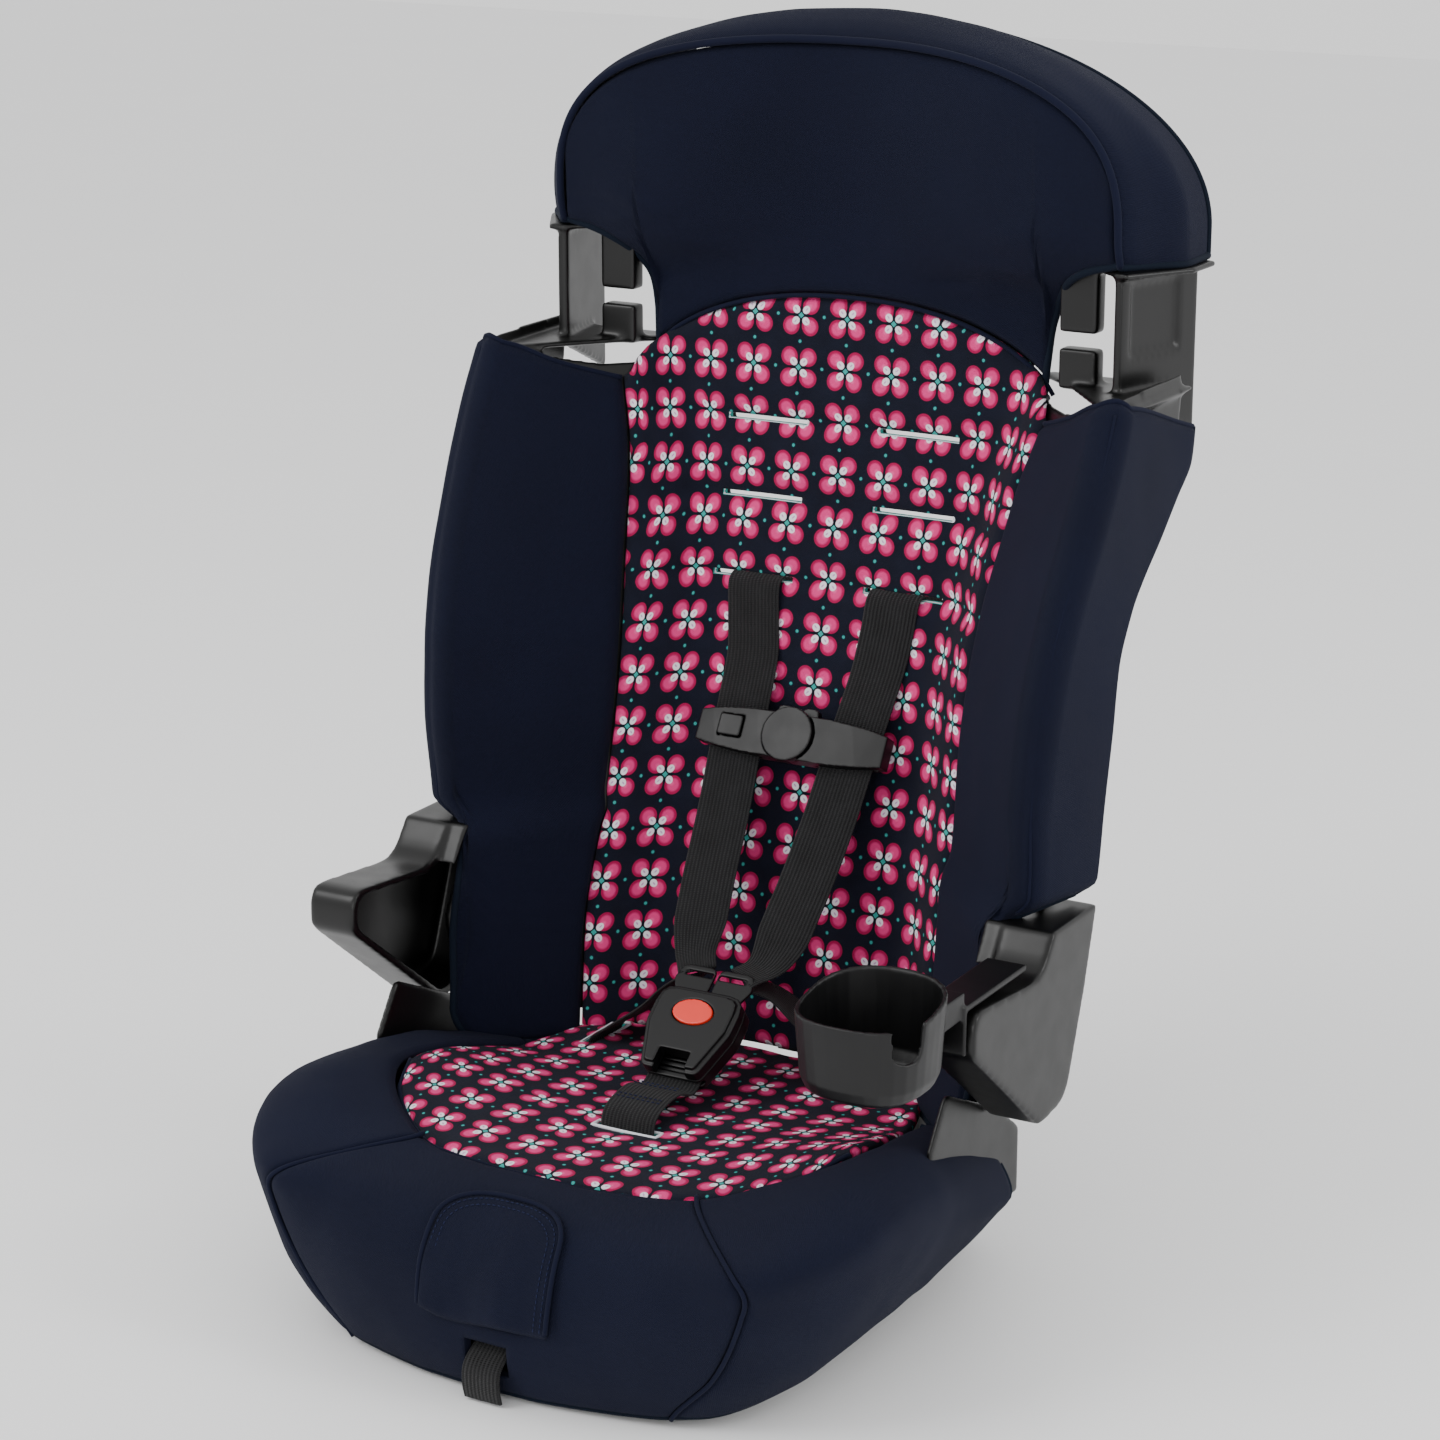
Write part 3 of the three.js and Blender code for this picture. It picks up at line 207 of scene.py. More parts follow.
def panel(name, columns, rows, at, level=None):
    """A closed padded panel: at(u, v, side) with side 0 outer and 1 inner. level is the axis its print runs up."""
    faces = []
    points = [at(i / columns, j / rows, side) for side in (0, 1) for j in range(rows + 1)
              for i in range(columns + 1)]
    uvs = laid_flat(points, columns, rows, level)
    size = (columns + 1) * (rows + 1)

    def n(side, i, j):
        return side * size + j * (columns + 1) + i
    for j in range(rows):
        for i in range(columns):
            faces.append((n(0, i, j), n(0, i + 1, j), n(0, i + 1, j + 1), n(0, i, j + 1)))
            faces.append((n(1, i, j), n(1, i, j + 1), n(1, i + 1, j + 1), n(1, i + 1, j)))
        faces.append((n(0, 0, j), n(0, 0, j + 1), n(1, 0, j + 1), n(1, 0, j)))
        faces.append((n(0, columns, j), n(1, columns, j), n(1, columns, j + 1), n(0, columns, j + 1)))
    for i in range(columns):
        faces.append((n(0, i, 0), n(1, i, 0), n(1, i + 1, 0), n(0, i + 1, 0)))
        faces.append((n(0, i, rows), n(0, i + 1, rows), n(1, i + 1, rows), n(1, i, rows)))
    return make(name, points, faces, uvs)


def laid_flat(points, columns, rows, level=None):
    """Distances along the rows from the middle, and up the middle column or the level axis, in metres."""
    middle = columns // 2
    out = []
    for side in (0, 1):
        base = side * (columns + 1) * (rows + 1)
        up = 0.0
        for j in range(rows + 1):
            row = [Vector(points[base + j * (columns + 1) + i]) for i in range(columns + 1)]
            if j:
                up += (row[middle] - before[middle]).length
            before = row
            across = [0.0] * (columns + 1)
            for i in range(middle + 1, columns + 1):
                across[i] = across[i - 1] + (row[i] - row[i - 1]).length
            for i in range(middle - 1, -1, -1):
                across[i] = across[i + 1] - (row[i + 1] - row[i]).length
            out += [(a / 1000, (up if level is None else p[level]) / 1000) for a, p in zip(across, row)]
    return out


def roll(u, v, wide, high, radius=7.0, deep=4.0):
    """How far the face turns down near its sewn edge."""
    edge = min(min(u, 1 - u) * wide, min(v, 1 - v) * high)
    t = min(max(1 - edge / radius, 0.0), 1.0)
    return deep * (1 - math.sqrt(max(1 - t * t, 0.0)))


def puff(u, v, high):
    return high * (1 - abs(2 * u - 1) ** 3) * (1 - abs(2 * v - 1) ** 4)


def resampled(points, spacing, closed=False):
    line = [Vector(p) for p in points]
    if closed:
        line.append(line[0])
    lengths = [0.0]
    for a, b in zip(line, line[1:]):
        lengths.append(lengths[-1] + (b - a).length)
    count = max(int(lengths[-1] / spacing), 2)
    out, k = [], 0
    for i in range(count + (0 if closed else 1)):
        d = lengths[-1] * i / count
        while k < len(lengths) - 2 and lengths[k + 1] < d:
            k += 1
        w = (d - lengths[k]) / max(lengths[k + 1] - lengths[k], 1e-9)
        out.append(line[k].lerp(line[k + 1], min(max(w, 0.0), 1.0)))
    return out


def tube(name, points, radius, closed=False, spacing=3.0, sides=10, flatten=1.0):
    """A round or flattened cord of cloth along a line."""
    line = resampled(points, spacing, closed)
    count = len(line)
    verts, faces = [], []
    up = Vector((0.13, -1, 0.29)).normalized()
    for i, p in enumerate(line):
        ahead = line[(i + 1) % count] if closed or i + 1 < count else p
        behind = line[i - 1] if closed or i > 0 else p
        along = (ahead - behind).normalized()
        side = up.cross(along).normalized()
        up = along.cross(side).normalized()
        for k in range(sides):
            a = 2 * math.pi * k / sides
            verts.append(p + side * (math.cos(a) * radius) + up * (math.sin(a) * radius * flatten))
    rings = count if closed else count - 1
    for i in range(rings):
        for k in range(sides):
            a, b = i * sides + k, i * sides + (k + 1) % sides
            c, d = ((i + 1) % count) * sides + (k + 1) % sides, ((i + 1) % count) * sides + k
            faces.append((a, b, c, d))
    if not closed:
        faces.append(tuple(range(sides)))
        faces.append(tuple(range((count - 1) * sides, count * sides)))
    return make(name, verts, faces)


def stitches(name, points, pitch=3.4, length=2.2, radius=0.36):
    """A row of short thread stitches lying along a line."""
    line = resampled(points, pitch)
    verts, faces = [], []
    for a, b in zip(line, line[1:]):
        along = (b - a).normalized()
        side = Vector((0.1, -1, 0.3)).cross(along).normalized()
        up = along.cross(side)
        start = len(verts)
        for t, r in ((0, 0.45), (0.2, 1.0), (0.8, 1.0), (1, 0.45)):
            c = a + along * (length * t)
            for k in range(6):
                q = 2 * math.pi * k / 6
                verts.append(c + (side * math.cos(q) + up * math.sin(q)) * radius * r)
        for j in range(3):
            for k in range(6):
                m = (k + 1) % 6
                faces.append((start + j * 6 + k, start + j * 6 + m, start + j * 6 + 6 + m, start + j * 6 + 6 + k))
        faces.append(tuple(range(start, start + 6)))
        faces.append(tuple(range(start + 18, start + 24)))
    return make(name, verts, faces)


def strap(name, path, across, width=WEBBING, thick=1.7, spacing=3.0, ripple=0.0, end=None, start=None):
    """Flat webbing with rounded selvedges; across(t) is the way it is wide, start and end its widths at the ends."""
    at = centripetal(path)
    line = resampled([at(i / 400) for i in range(401)], spacing)
    count = len(line)
    shape = [(-1, 0), (-0.985, 0.62), (-0.93, 1), (-0.6, 0.94), (-0.3, 1), (0, 0.94), (0.3, 1), (0.6, 0.94), (0.93, 1),
             (0.985, 0.62), (1, 0), (0.985, -0.62), (0.93, -1), (0.5, -1), (0, -1), (-0.5, -1), (-0.93, -1),
             (-0.985, -0.62)]
    n = len(shape)
    verts, uvs, faces = [], [], []
    run = 0.0
    for i, p in enumerate(line):
        t = i / (count - 1)
        along = (line[min(i + 1, count - 1)] - line[max(i - 1, 0)]).normalized()
        side = Vector(across(t))
        side = (side - along * side.dot(along)).normalized()
        up = side.cross(along).normalized()
        run += (p - line[i - 1]).length if i else 0.0
        wave = ripple * math.sin(t * 9.0 + 0.7) * math.sin(math.pi * t)
        wide = mix(width, end or width, step(t, 0.88, 0.98))
        wide = mix(start or wide, wide, step(t, 0.05, 0.3))
        for a, b in shape:
            verts.append(p + side * (a * wide / 2) + up * (b * thick / 2 + wave * a))
            uvs.append((a * width / 2000, run / 1000))
    for i in range(count - 1):
        for k in range(n):
            m = (k + 1) % n
            faces.append((i * n + k, i * n + m, (i + 1) * n + m, (i + 1) * n + k))
    faces.append(tuple(range(n)))
    faces.append(tuple(range((count - 1) * n, count * n)))
    return make(name, verts, faces, uvs)


def cut_out(obj, boxes):
    """Cuts straight-sided slots through a closed panel."""
    for k, (low, high) in enumerate(boxes):
        corners = [(x, y, z) for x in (low[0], high[0]) for y in (low[1], high[1]) for z in (low[2], high[2])]
        block = make("slot_block", corners, [(0, 1, 3, 2), (4, 6, 7, 5), (0, 4, 5, 1), (2, 3, 7, 6), (0, 2, 6, 4),
                                             (1, 5, 7, 3)], smooth=False)
        apply(obj, "BOOLEAN", operation="DIFFERENCE", solver="EXACT", object=block)
        bpy.data.objects.remove(block)


def apply(obj, kind, **settings):
    m = obj.modifiers.new(kind.lower(), kind)
    for key, value in settings.items():
        setattr(m, key, value)
    with bpy.context.temp_override(object=obj, active_object=obj, selected_objects=[obj]):
        bpy.ops.object.modifier_apply(modifier=m.name)


# ------------------------------------------------------------------ materials
class Shade:
    """A small helper for writing node materials."""

    def __init__(self, name, roughness=0.5, slots=None):
        self.material = bpy.data.materials.new(name)
        self.material.use_nodes = True
        self.tree = self.material.node_tree
        self.bsdf = self.tree.nodes["Principled BSDF"]
        self.bsdf.inputs["Roughness"].default_value = roughness

    def node(self, kind, **inputs):
        n = self.tree.nodes.new(kind)
        for key, value in inputs.items():
            if hasattr(n, key) and key not in n.inputs:
                setattr(n, key, value)
                continue
            self.put(n.inputs[key], value)
        return n

    def put(self, socket, value):
        if isinstance(value, bpy.types.NodeSocket):
            self.tree.links.new(value, socket)
        else:
            socket.default_value = value

    def math(self, operation, a, b=0.0, c=0.0):
        n = self.tree.nodes.new("ShaderNodeMath")
        n.operation = operation
        for k, value in enumerate((a, b, c)):
            self.put(n.inputs[k], value)
        return n.outputs[0]

    def blend(self, factor, a, b):
        n = self.tree.nodes.new("ShaderNodeMix")
        n.data_type = "RGBA"
        self.put(n.inputs[0], factor)
        self.put(n.inputs[6], a)
        self.put(n.inputs[7], b)
        return n.outputs[2]

    def noise(self, vector, scale, detail=3.0):
        n = self.tree.nodes.new("ShaderNodeTexNoise")
        self.put(n.inputs["Vector"], vector)
        n.inputs["Scale"].default_value = scale
        n.inputs["Detail"].default_value = detail
        return n.outputs["Fac"]

    def bump(self, height, distance, strength=1.0):
        n = self.tree.nodes.new("ShaderNodeBump")
        n.inputs["Strength"].default_value = strength
        n.inputs["Distance"].default_value = distance
        self.put(n.inputs["Height"], height)
        self.put(self.bsdf.inputs["Normal"], n.outputs["Normal"])

    def coordinates(self, kind):
        return self.tree.nodes.new("ShaderNodeTexCoord").outputs[kind]

    def colour(self, value):
        self.put(self.bsdf.inputs["Base Color"], value)

    def edge(self, value, at, soft):
        """1 where value is under at, 0 above it."""
        n = self.tree.nodes.new("ShaderNodeMapRange")
        n.interpolation_type = "SMOOTHSTEP"
        self.put(n.inputs["Value"], value)
        n.inputs["From Min"].default_value = at - soft
        n.inputs["From Max"].default_value = at + soft
        n.inputs["To Min"].default_value = 1.0
        n.inputs["To Max"].default_value = 0.0
        return n.outputs["Result"]


def rgb(code):
    parts = [int(code[k:k + 2], 16) / 255 for k in (0, 2, 4)]
    return tuple(c / 12.92 if c <= 0.04045 else ((c + 0.055) / 1.055) ** 2.4 for c in parts) + (1.0,)


def knit(shade, vector, pitch, distance):
    """Fine looped cloth: two crossing sets of ribs."""
    split = shade.node("ShaderNodeSeparateXYZ", Vector=vector)
    k = 2 * math.pi / pitch
    a = shade.math("SINE", shade.math("MULTIPLY", split.outputs[0], k))
    b = shade.math("SINE", shade.math("MULTIPLY", split.outputs[1], k))
    weave = shade.math("MULTIPLY", a, b)
    shade.bump(shade.math("ADD", weave, shade.math("MULTIPLY", shade.noise(vector, 900.0), 0.8)), distance, 0.6)
    return weave


def cloth(name, low, high, pitch=0.0011, sheen=0.35, roughness=0.88):
    shade = Shade(name, roughness)
    flat = shade.coordinates("UV")
    weave = knit(shade, flat, pitch, 0.0004)
    place = shade.coordinates("Object")
    broad = shade.noise(place, 9.0, 4.0)
    fine = shade.noise(place, 420.0, 2.0)
    mixed = shade.math("ADD", shade.math("MULTIPLY", broad, 0.75), shade.math("MULTIPLY", fine, 0.35))
    mixed = shade.math("ADD", mixed, shade.math("MULTIPLY", weave, 0.06))
    shade.colour(shade.blend(mixed, rgb(low), rgb(high)))
    shade.bsdf.inputs["Specular IOR Level"].default_value = 0.15
    shade.bsdf.inputs["Sheen Weight"].default_value = sheen
    shade.bsdf.inputs["Sheen Roughness"].default_value = 0.5
    shade.bsdf.inputs["Sheen Tint"].default_value = (0.55, 0.6, 0.85, 1)
    return shade.material


def floral():
    shade = Shade("floral_print", 0.85)
    flat = shade.coordinates("UV")
    pitch = 0.0335
    split = shade.node("ShaderNodeSeparateXYZ", Vector=flat)
    cell = [shade.math("SUBTRACT", shade.math("FRACT", shade.math("ADD", shade.math("DIVIDE", split.outputs[k], pitch),
                                                                 0.5)), 0.5) for k in (0, 1)]
    a, b = [shade.math("ABSOLUTE", c) for c in cell]

    def distance(x, y, stretch=1.0):
        dx, dy = shade.math("SUBTRACT", a, x), shade.math("SUBTRACT", b, y)
        along = shade.math("MULTIPLY", shade.math("ADD", dx, dy), 0.7071)
        off = shade.math("MULTIPLY", shade.math("SUBTRACT", dx, dy), 0.7071 * stretch)
        return shade.math("SQRT", shade.math("ADD", shade.math("MULTIPLY", along, along),
                                             shade.math("MULTIPLY", off, off)))
    ground = shade.blend(shade.noise(flat, 60.0), rgb("090b18"), rgb("141829"))
    petal = distance(0.205, 0.205, 1.03)
    tint = shade.blend(shade.edge(petal, 0.125, 0.03), rgb("a80c4c"), rgb("e23c82"))
    tint = shade.blend(shade.edge(distance(0.16, 0.16, 1.3), 0.06, 0.03), tint, rgb("ee5c98"))
    colour = shade.blend(shade.edge(petal, 0.183, 0.008), ground, tint)
    colour = shade.blend(shade.edge(distance(0.108, 0.108, 1.15), 0.082, 0.01), colour, rgb("f3ecf4"))
    colour = shade.blend(shade.edge(distance(0.12, 0.12, 2.2), 0.035, 0.01), colour, rgb("cfa9cf"))
    spokes = shade.math("MINIMUM", a, b)
    near = shade.edge(distance(0.0, 0.0), 0.15, 0.01)
    colour = shade.blend(shade.math("MULTIPLY", shade.edge(spokes, 0.012, 0.004), near), colour, rgb("090b18"))
    diamond = shade.math("ADD", a, b)
    colour = shade.blend(shade.edge(diamond, 0.082, 0.006), colour, rgb("090b18"))
    colour = shade.blend(shade.edge(diamond, 0.06, 0.006), colour, rgb("35a39b"))
    for x, y in ((0.5, 0.0), (0.0, 0.5)):
        spot = distance(x, y)
        colour = shade.blend(shade.edge(spot, 0.042, 0.006), colour, rgb("12404a"))
        colour = shade.blend(shade.edge(spot, 0.03, 0.006), colour, rgb("35a39b"))
    shade.colour(colour)
    knit(shade, flat, 0.0011, 0.0004)
    shade.bsdf.inputs["Specular IOR Level"].default_value = 0.15
    shade.bsdf.inputs["Sheen Weight"].default_value = 0.03
    return shade.material


def webbing(name, low, high):
    shade = Shade(name, 0.7)
    flat = shade.coordinates("UV")
    split = shade.node("ShaderNodeSeparateXYZ", Vector=flat)
    ribs = shade.math("SINE", shade.math("MULTIPLY", split.outputs[0], 2 * math.pi / 0.0026))
    picks = shade.math("SINE", shade.math("MULTIPLY", split.outputs[1], 2 * math.pi / 0.0012))
    height = shade.math("ADD", ribs, shade.math("MULTIPLY", picks, 0.5))
    shade.bump(height, 0.0005, 0.8)
    t = shade.math("ADD", shade.math("MULTIPLY", ribs, 0.22), shade.noise(flat, 70.0))
    shade.colour(shade.blend(t, rgb(low), rgb(high)))
    shade.bsdf.inputs["Specular IOR Level"].default_value = 0.25
    shade.bsdf.inputs["Sheen Weight"].default_value = 0.05
    return shade.material


def plastic(name, low, high, roughness, grain=0.00006, coat=0.0):
    shade = Shade(name, roughness)
    place = shade.coordinates("Object")
    shade.bump(shade.noise(place, 1600.0, 3.0), grain, 0.5)
    shade.colour(shade.blend(shade.noise(place, 30.0), rgb(low), rgb(high)))
    wear = shade.noise(place, 55.0, 6.0)
    shade.put(shade.bsdf.inputs["Roughness"], shade.math("ADD", shade.math("MULTIPLY", wear, 0.16), roughness - 0.08))
    shade.bsdf.inputs["Specular IOR Level"].default_value = 0.35
    shade.bsdf.inputs["Coat Weight"].default_value = coat
    shade.bsdf.inputs["Coat Roughness"].default_value = 0.2
    return shade.material


def metal(name, code):
    shade = Shade(name, 0.35)
    place = shade.coordinates("Object")
    shade.bsdf.inputs["Metallic"].default_value = 1.0
    grain = shade.noise(place, 700.0, 4.0)
    shade.colour(shade.blend(grain, rgb(code), rgb("c8cacc")))
    shade.put(shade.bsdf.inputs["Roughness"], shade.math("ADD", shade.math("MULTIPLY", grain, 0.25), 0.22))
    shade.bump(grain, 0.00005, 0.4)
    return shade.material


NAVY = cloth("navy_knit", "060818", "0d1228", sheen=0.03)
BINDING = cloth("binding_tape", "050a14", "0b1524", pitch=0.0009, sheen=0.03)
WHITE = cloth("white_tape", "b9bcc4", "e6e8ec", pitch=0.0009, sheen=0.1)
THREAD = cloth("thread", "10142a", "1f2644", pitch=0.0006, sheen=0.03)
FLORAL = floral()
WEB = webbing("harness_webbing", "0a0a0b", "1c1c1e")
MOULDED = plastic("moulded_plastic", "020202", "060606", 0.36, coat=0.04)
SATIN = plastic("satin_plastic", "020203", "050506", 0.42)
RED = plastic("red_plastic", "d92a1c", "ee3a2b", 0.3, coat=0.3)
STEEL = metal("zinc_steel", "8d9094")
FOAM = cloth("foam", "c9c9c5", "e4e4e0", pitch=0.004, sheen=0.0)


def finish_piece(obj, material, body=None, stands_for=()):
    obj.data.materials.clear()
    obj.data.materials.append(material)
    if body:
        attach(obj, body)
    if stands_for:
        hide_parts(*stands_for)
    return obj


# ------------------------------------------------------------------ backrest
INSERT_HALF = 150.0
insert_side = curve([[90, 2.28], [174, 2.28], [332, 2.26], [415, 2.26], [480, 2.22], [524, 2.18]])


def insert_top(share):
    return 524 + 60 * max(1 - min(abs(share), 1) ** 2.2, 0) ** 0.6


def insert_place(u, v):
    share = 2 * u - 1
    x = torso(share * insert_side(540), 545, 0)[0]
    z = mix(102, insert_top(min(abs(x) / INSERT_HALF, 1)) - 1.5, v)
    return share * (insert_side(z) - 0.008), z


def slot_fold(x, z):
    """The insert is drawn in along each row of slots and swells between them."""
    deep = 0.0
    for height in SLOT_HEIGHTS:
        off = z - height
        near = 1 - step(abs(abs(x) - SLOT_X), 26, 95)
        deep += near * (3.2 * math.exp(-(off / 7) ** 2) - 1.6 * math.exp(-((off - 15) / 9) ** 2)
                        - 1.1 * math.exp(-((off + 15) / 10) ** 2))
    return deep


def insert_at(u, v, side):
    s, z = insert_place(u, v)
    if side:
        return torso(s, z, PAD)
    p = torso(s, z, 0)
    deep = roll(u, v, 330, 460, 9, 5) - puff(u, v, 1.6) + slot_fold(p.x, z)
    deep -= 1.6 * crease((p.x, p.y * 0.5, z * 1.6), 42, 3)
    edge = step(v, 0.80, 0.96) * step(abs(2 * u - 1), 0.35, 0.9)
    deep -= 2.2 * edge * max(noise.noise(Vector((p.x / 18 + z / 40, z / 26, 1.3))), 0)
    return torso(s, z, min(deep, 6.0))


insert = panel("back_insert_cloth", 84, 120, insert_at, level=2)
slot_boxes = []
for height in SLOT_HEIGHTS:
    for sign in (-1, 1):
        x = sign * SLOT_X
        slot_boxes.append(((x - SLOT_WIDTH / 2, back_y(height) - 25, height - 1.9),
                           (x + SLOT_WIDTH / 2, back_y(height) + 30, height + 1.9)))
cut_out(insert, slot_boxes)
finish_piece(insert, FLORAL, "backrest", ["back_insert"])

for k, height in enumerate(SLOT_HEIGHTS):
    for sign in (-1, 1):
        x0, x1 = sign * SLOT_X - SLOT_WIDTH / 2 - 1, sign * SLOT_X + SLOT_WIDTH / 2 + 1
        across = [mix(x0 + 1.5, x1 - 1.5, t / 9) for t in range(10)]
        loop = [(x, back_y(height + z) + 1.6 - step(abs(x), 70, 90) * 1.5, height + z)
                for x, z in [(x0, 0.0)] + [(x, 2.5) for x in across] + [(x1, 0.0)] + [(x, -2.5) for x in across[::-1]]]
        side_name = "left" if sign > 0 else "right"
        edge = tube(f"slot_binding_{k}_{side_name}", loop, 1.0, closed=True, spacing=1.4, sides=8)
        finish_piece(edge, WHITE, "backrest")

wing_top = curve([[2.2, 522], [2.6, 534], [3, 548], [3.5, 552], [4, 547], [5, 520]])
wing_foot = curve([[2.2, 98], [2.85, 102], [3.0, 122], [3.1, 176], [3.25, 217], [3.5, 241], [4, 251], [5, 253]])


def wing_place(u, v):
    z0 = mix(116, 520, v)
    s = mix(insert_side(z0) + 0.008, 4.99, u)
    return s, mix(wing_foot(s), wing_top(s), v)


def wing_at(sign):
    def at(u, v, side):
        s, z = wing_place(u, v)
        if side:
            p = torso(s, z, PAD)
        else:
            q = torso(s, z, 0)
            seam = math.exp(-((s - 3.55) / 0.10) ** 2)
            deep = roll(u, v, 260, 400, 8, 4.5) - puff(u, v, 1.8) + 1.5 * seam
            deep -= 1.5 * crease((q.x * 0.8, q.y, q.z * 0.55), 62, 7 + sign)
            p = torso(s, z, min(deep, 5.5))
        return Vector((sign * p.x, p.y, p.z))
    return at


for sign, side_name in ((1, "left"), (-1, "right")):
    wing = panel(f"wing_cloth_{side_name}", 84, 84, wing_at(sign))
    finish_piece(wing, NAVY, "backrest", [f"wing_cover_{side_name}"])
    place = wing_at(sign)
    rim = [place(t / 90, 0.0, 0) for t in range(91)]
    finish_piece(tube(f"wing_foot_binding_{side_name}", rim, 2.6), BINDING, "backrest")
    rear = [place(1.0, t / 60, 0) for t in range(61)]
    finish_piece(tube(f"wing_rear_binding_{side_name}", rear, 2.2), BINDING, "backrest")
    head_edge = [place(t / 60, 1.0, 0) for t in range(61)]
    finish_piece(tube(f"wing_top_binding_{side_name}", head_edge, 1.8), NAVY, "backrest")
    seam = []
    for t in range(61):
        z = mix(252, 545, t / 60)
        p = torso(3.55, z, 0.9)
        seam.append((sign * p.x, p.y, p.z))
    finish_piece(tube(f"wing_seam_{side_name}", seam, 1.0), NAVY, "backrest")

HEAD_HALF, HEAD_FOOT, HEAD_RISE, HEAD_POWER, HEAD_UNDER = 197.0, 640.0, 106.0, 2.7, 622.0
NECK_HALF = 139.0
HEAD_REAR = 286.0
bow = curve([[588, 0], [600, 7], [615, 20], [640, 27], [760, 27]])
head_foot = curve([[0, 584], [100, 562], [130, 541], [139, 533], [142, 572], [150, 596], [163, 611], [180, 619],
                   [197, 623]])


def head_y(x, z):
    return back_y(z) - bow(z) * step(abs(x), 0, 165)


def head_top(x):
    return HEAD_FOOT + HEAD_RISE * (1 - min(abs(x) / HEAD_HALF, 1) ** HEAD_POWER) ** (1 / HEAD_POWER)


def head_place(u, v):
    share = 2 * u - 1
    x = (HEAD_HALF - 1) * (1.25 * share - 0.25 * share ** 3)
    foot = insert_top(x / INSERT_HALF) + 0.8 if abs(x) < NECK_HALF else head_foot(abs(x))
    return x, mix(foot, max(head_top(x) - 1.5, HEAD_FOOT), v)


def head_at(u, v, side):
    x, z = head_place(u, v)
    if side:
        return Vector((x, head_y(x, z) + mix(PAD, 16, step(z, 622, 660)), z))
    deep = roll(u, v, 400, 170, 9, 4.0) - puff(u, v, 2.4) - 1.2 * crease((x, 0, z * 1.2), 70, 11)
    fold = step(z, 560, 600) * (1 - step(z, 628, 660)) * step(abs(x), 60, 125)
    deep -= 2.0 * fold * max(noise.noise(Vector((x / 30, z / 13, 4.2))), -0.4)
    tuck = math.exp(-((abs(x) - 78) / 20) ** 2) * math.exp(-((z - (590 + 0.14 * abs(x))) / 3.0) ** 2)
    deep += 2.4 * tuck * (1 if x > 0 else 0.3)
    return Vector((x, head_y(x, z) + deep, z))


head = panel("head_cloth", 110, 56, head_at)
finish_piece(head, NAVY, "backrest", ["head_cover"])

gusset_width = curve([[0, 198], [0.25, 211], [0.55, 225], [1, 224]])
gusset_rise = curve([[0, 107], [0.25, 117], [0.55, 122], [1, 116]])
gusset_power = curve([[0, 2.7], [0.25, 2.3], [0.55, 2.05], [1, 2]])


def gusset_point(t, v, depth):
    leg = 0.05
    angle = min(max((t - leg) / (1 - 2 * leg), 0), 1) * math.pi
    half, rise, power = gusset_width(v) - depth, gusset_rise(v) - depth, gusset_power(v)
    c = math.cos(angle)
    x = half * (1 if c >= 0 else -1) * abs(c) ** (2 / power)
    drop = max(leg - t, t - 1 + leg, 0) / leg
    z = HEAD_FOOT + rise * abs(math.sin(angle)) ** (2 / power) - drop * (HEAD_FOOT - HEAD_UNDER)
    return Vector((x, mix(head_y(x, z), HEAD_REAR, v), z))


def gusset_at(u, v, side):
    if side:
        return gusset_point(u, v, 1.0)
    p = gusset_point(u, v, -3)
    deep = -3 + 2.6 * math.exp(-(v / 0.05) ** 2) + 0.9 * crease(p, 55, 5) + 1.5 * math.exp(-((1 - v) / 0.05) ** 2)
    return gusset_point(u, v, min(deep, 0.0))


gusset = panel("head_band_cloth", 150, 22, gusset_at)
finish_piece(gusset, NAVY, "backrest", ["head_gusset"])
front_seam = [gusset_point(t / 120, 0.0, -0.4) for t in range(121)]
finish_piece(tube("head_piping", front_seam, 2.5), NAVY, "backrest")
rear_seam = [gusset_point(t / 120, 1.0, -1.5) for t in range(121)]
finish_piece(tube("head_rear_binding", rear_seam, 2.2), BINDING, "backrest")
for sign, side_name in ((1, "left"), (-1, "right")):
    end = 0.0 if sign > 0 else 1.0
    under = [gusset_point(end, 1 - t / 14, -1.5) for t in range(15)]
    for t in range(31):
        x = mix(197, 139.5, t / 30)
        z = head_foot(x)
        under.append((sign * x, head_y(x, z) + 1.5, z))
    for t in range(1, 8):
        z = 533 - t * 0.3
        under.append((sign * (139.5 - 0.2 * t), head_y(139, z) + 1.5 + t, z))
    finish_piece(tube(f"head_foot_binding_{side_name}", under, 2.6), BINDING, "backrest")
insert_rim = []
for t in range(81):
    x = mix(-146, 146, t / 80)
    z = insert_top(x / INSERT_HALF) - 0.3
    insert_rim.append((x, head_y(x, z) - 0.4 if abs(x) < 130 else head_y(x, z) + 1, z))
finish_piece(tube("insert_top_piping", insert_rim, 1.5), NAVY, "backrest")

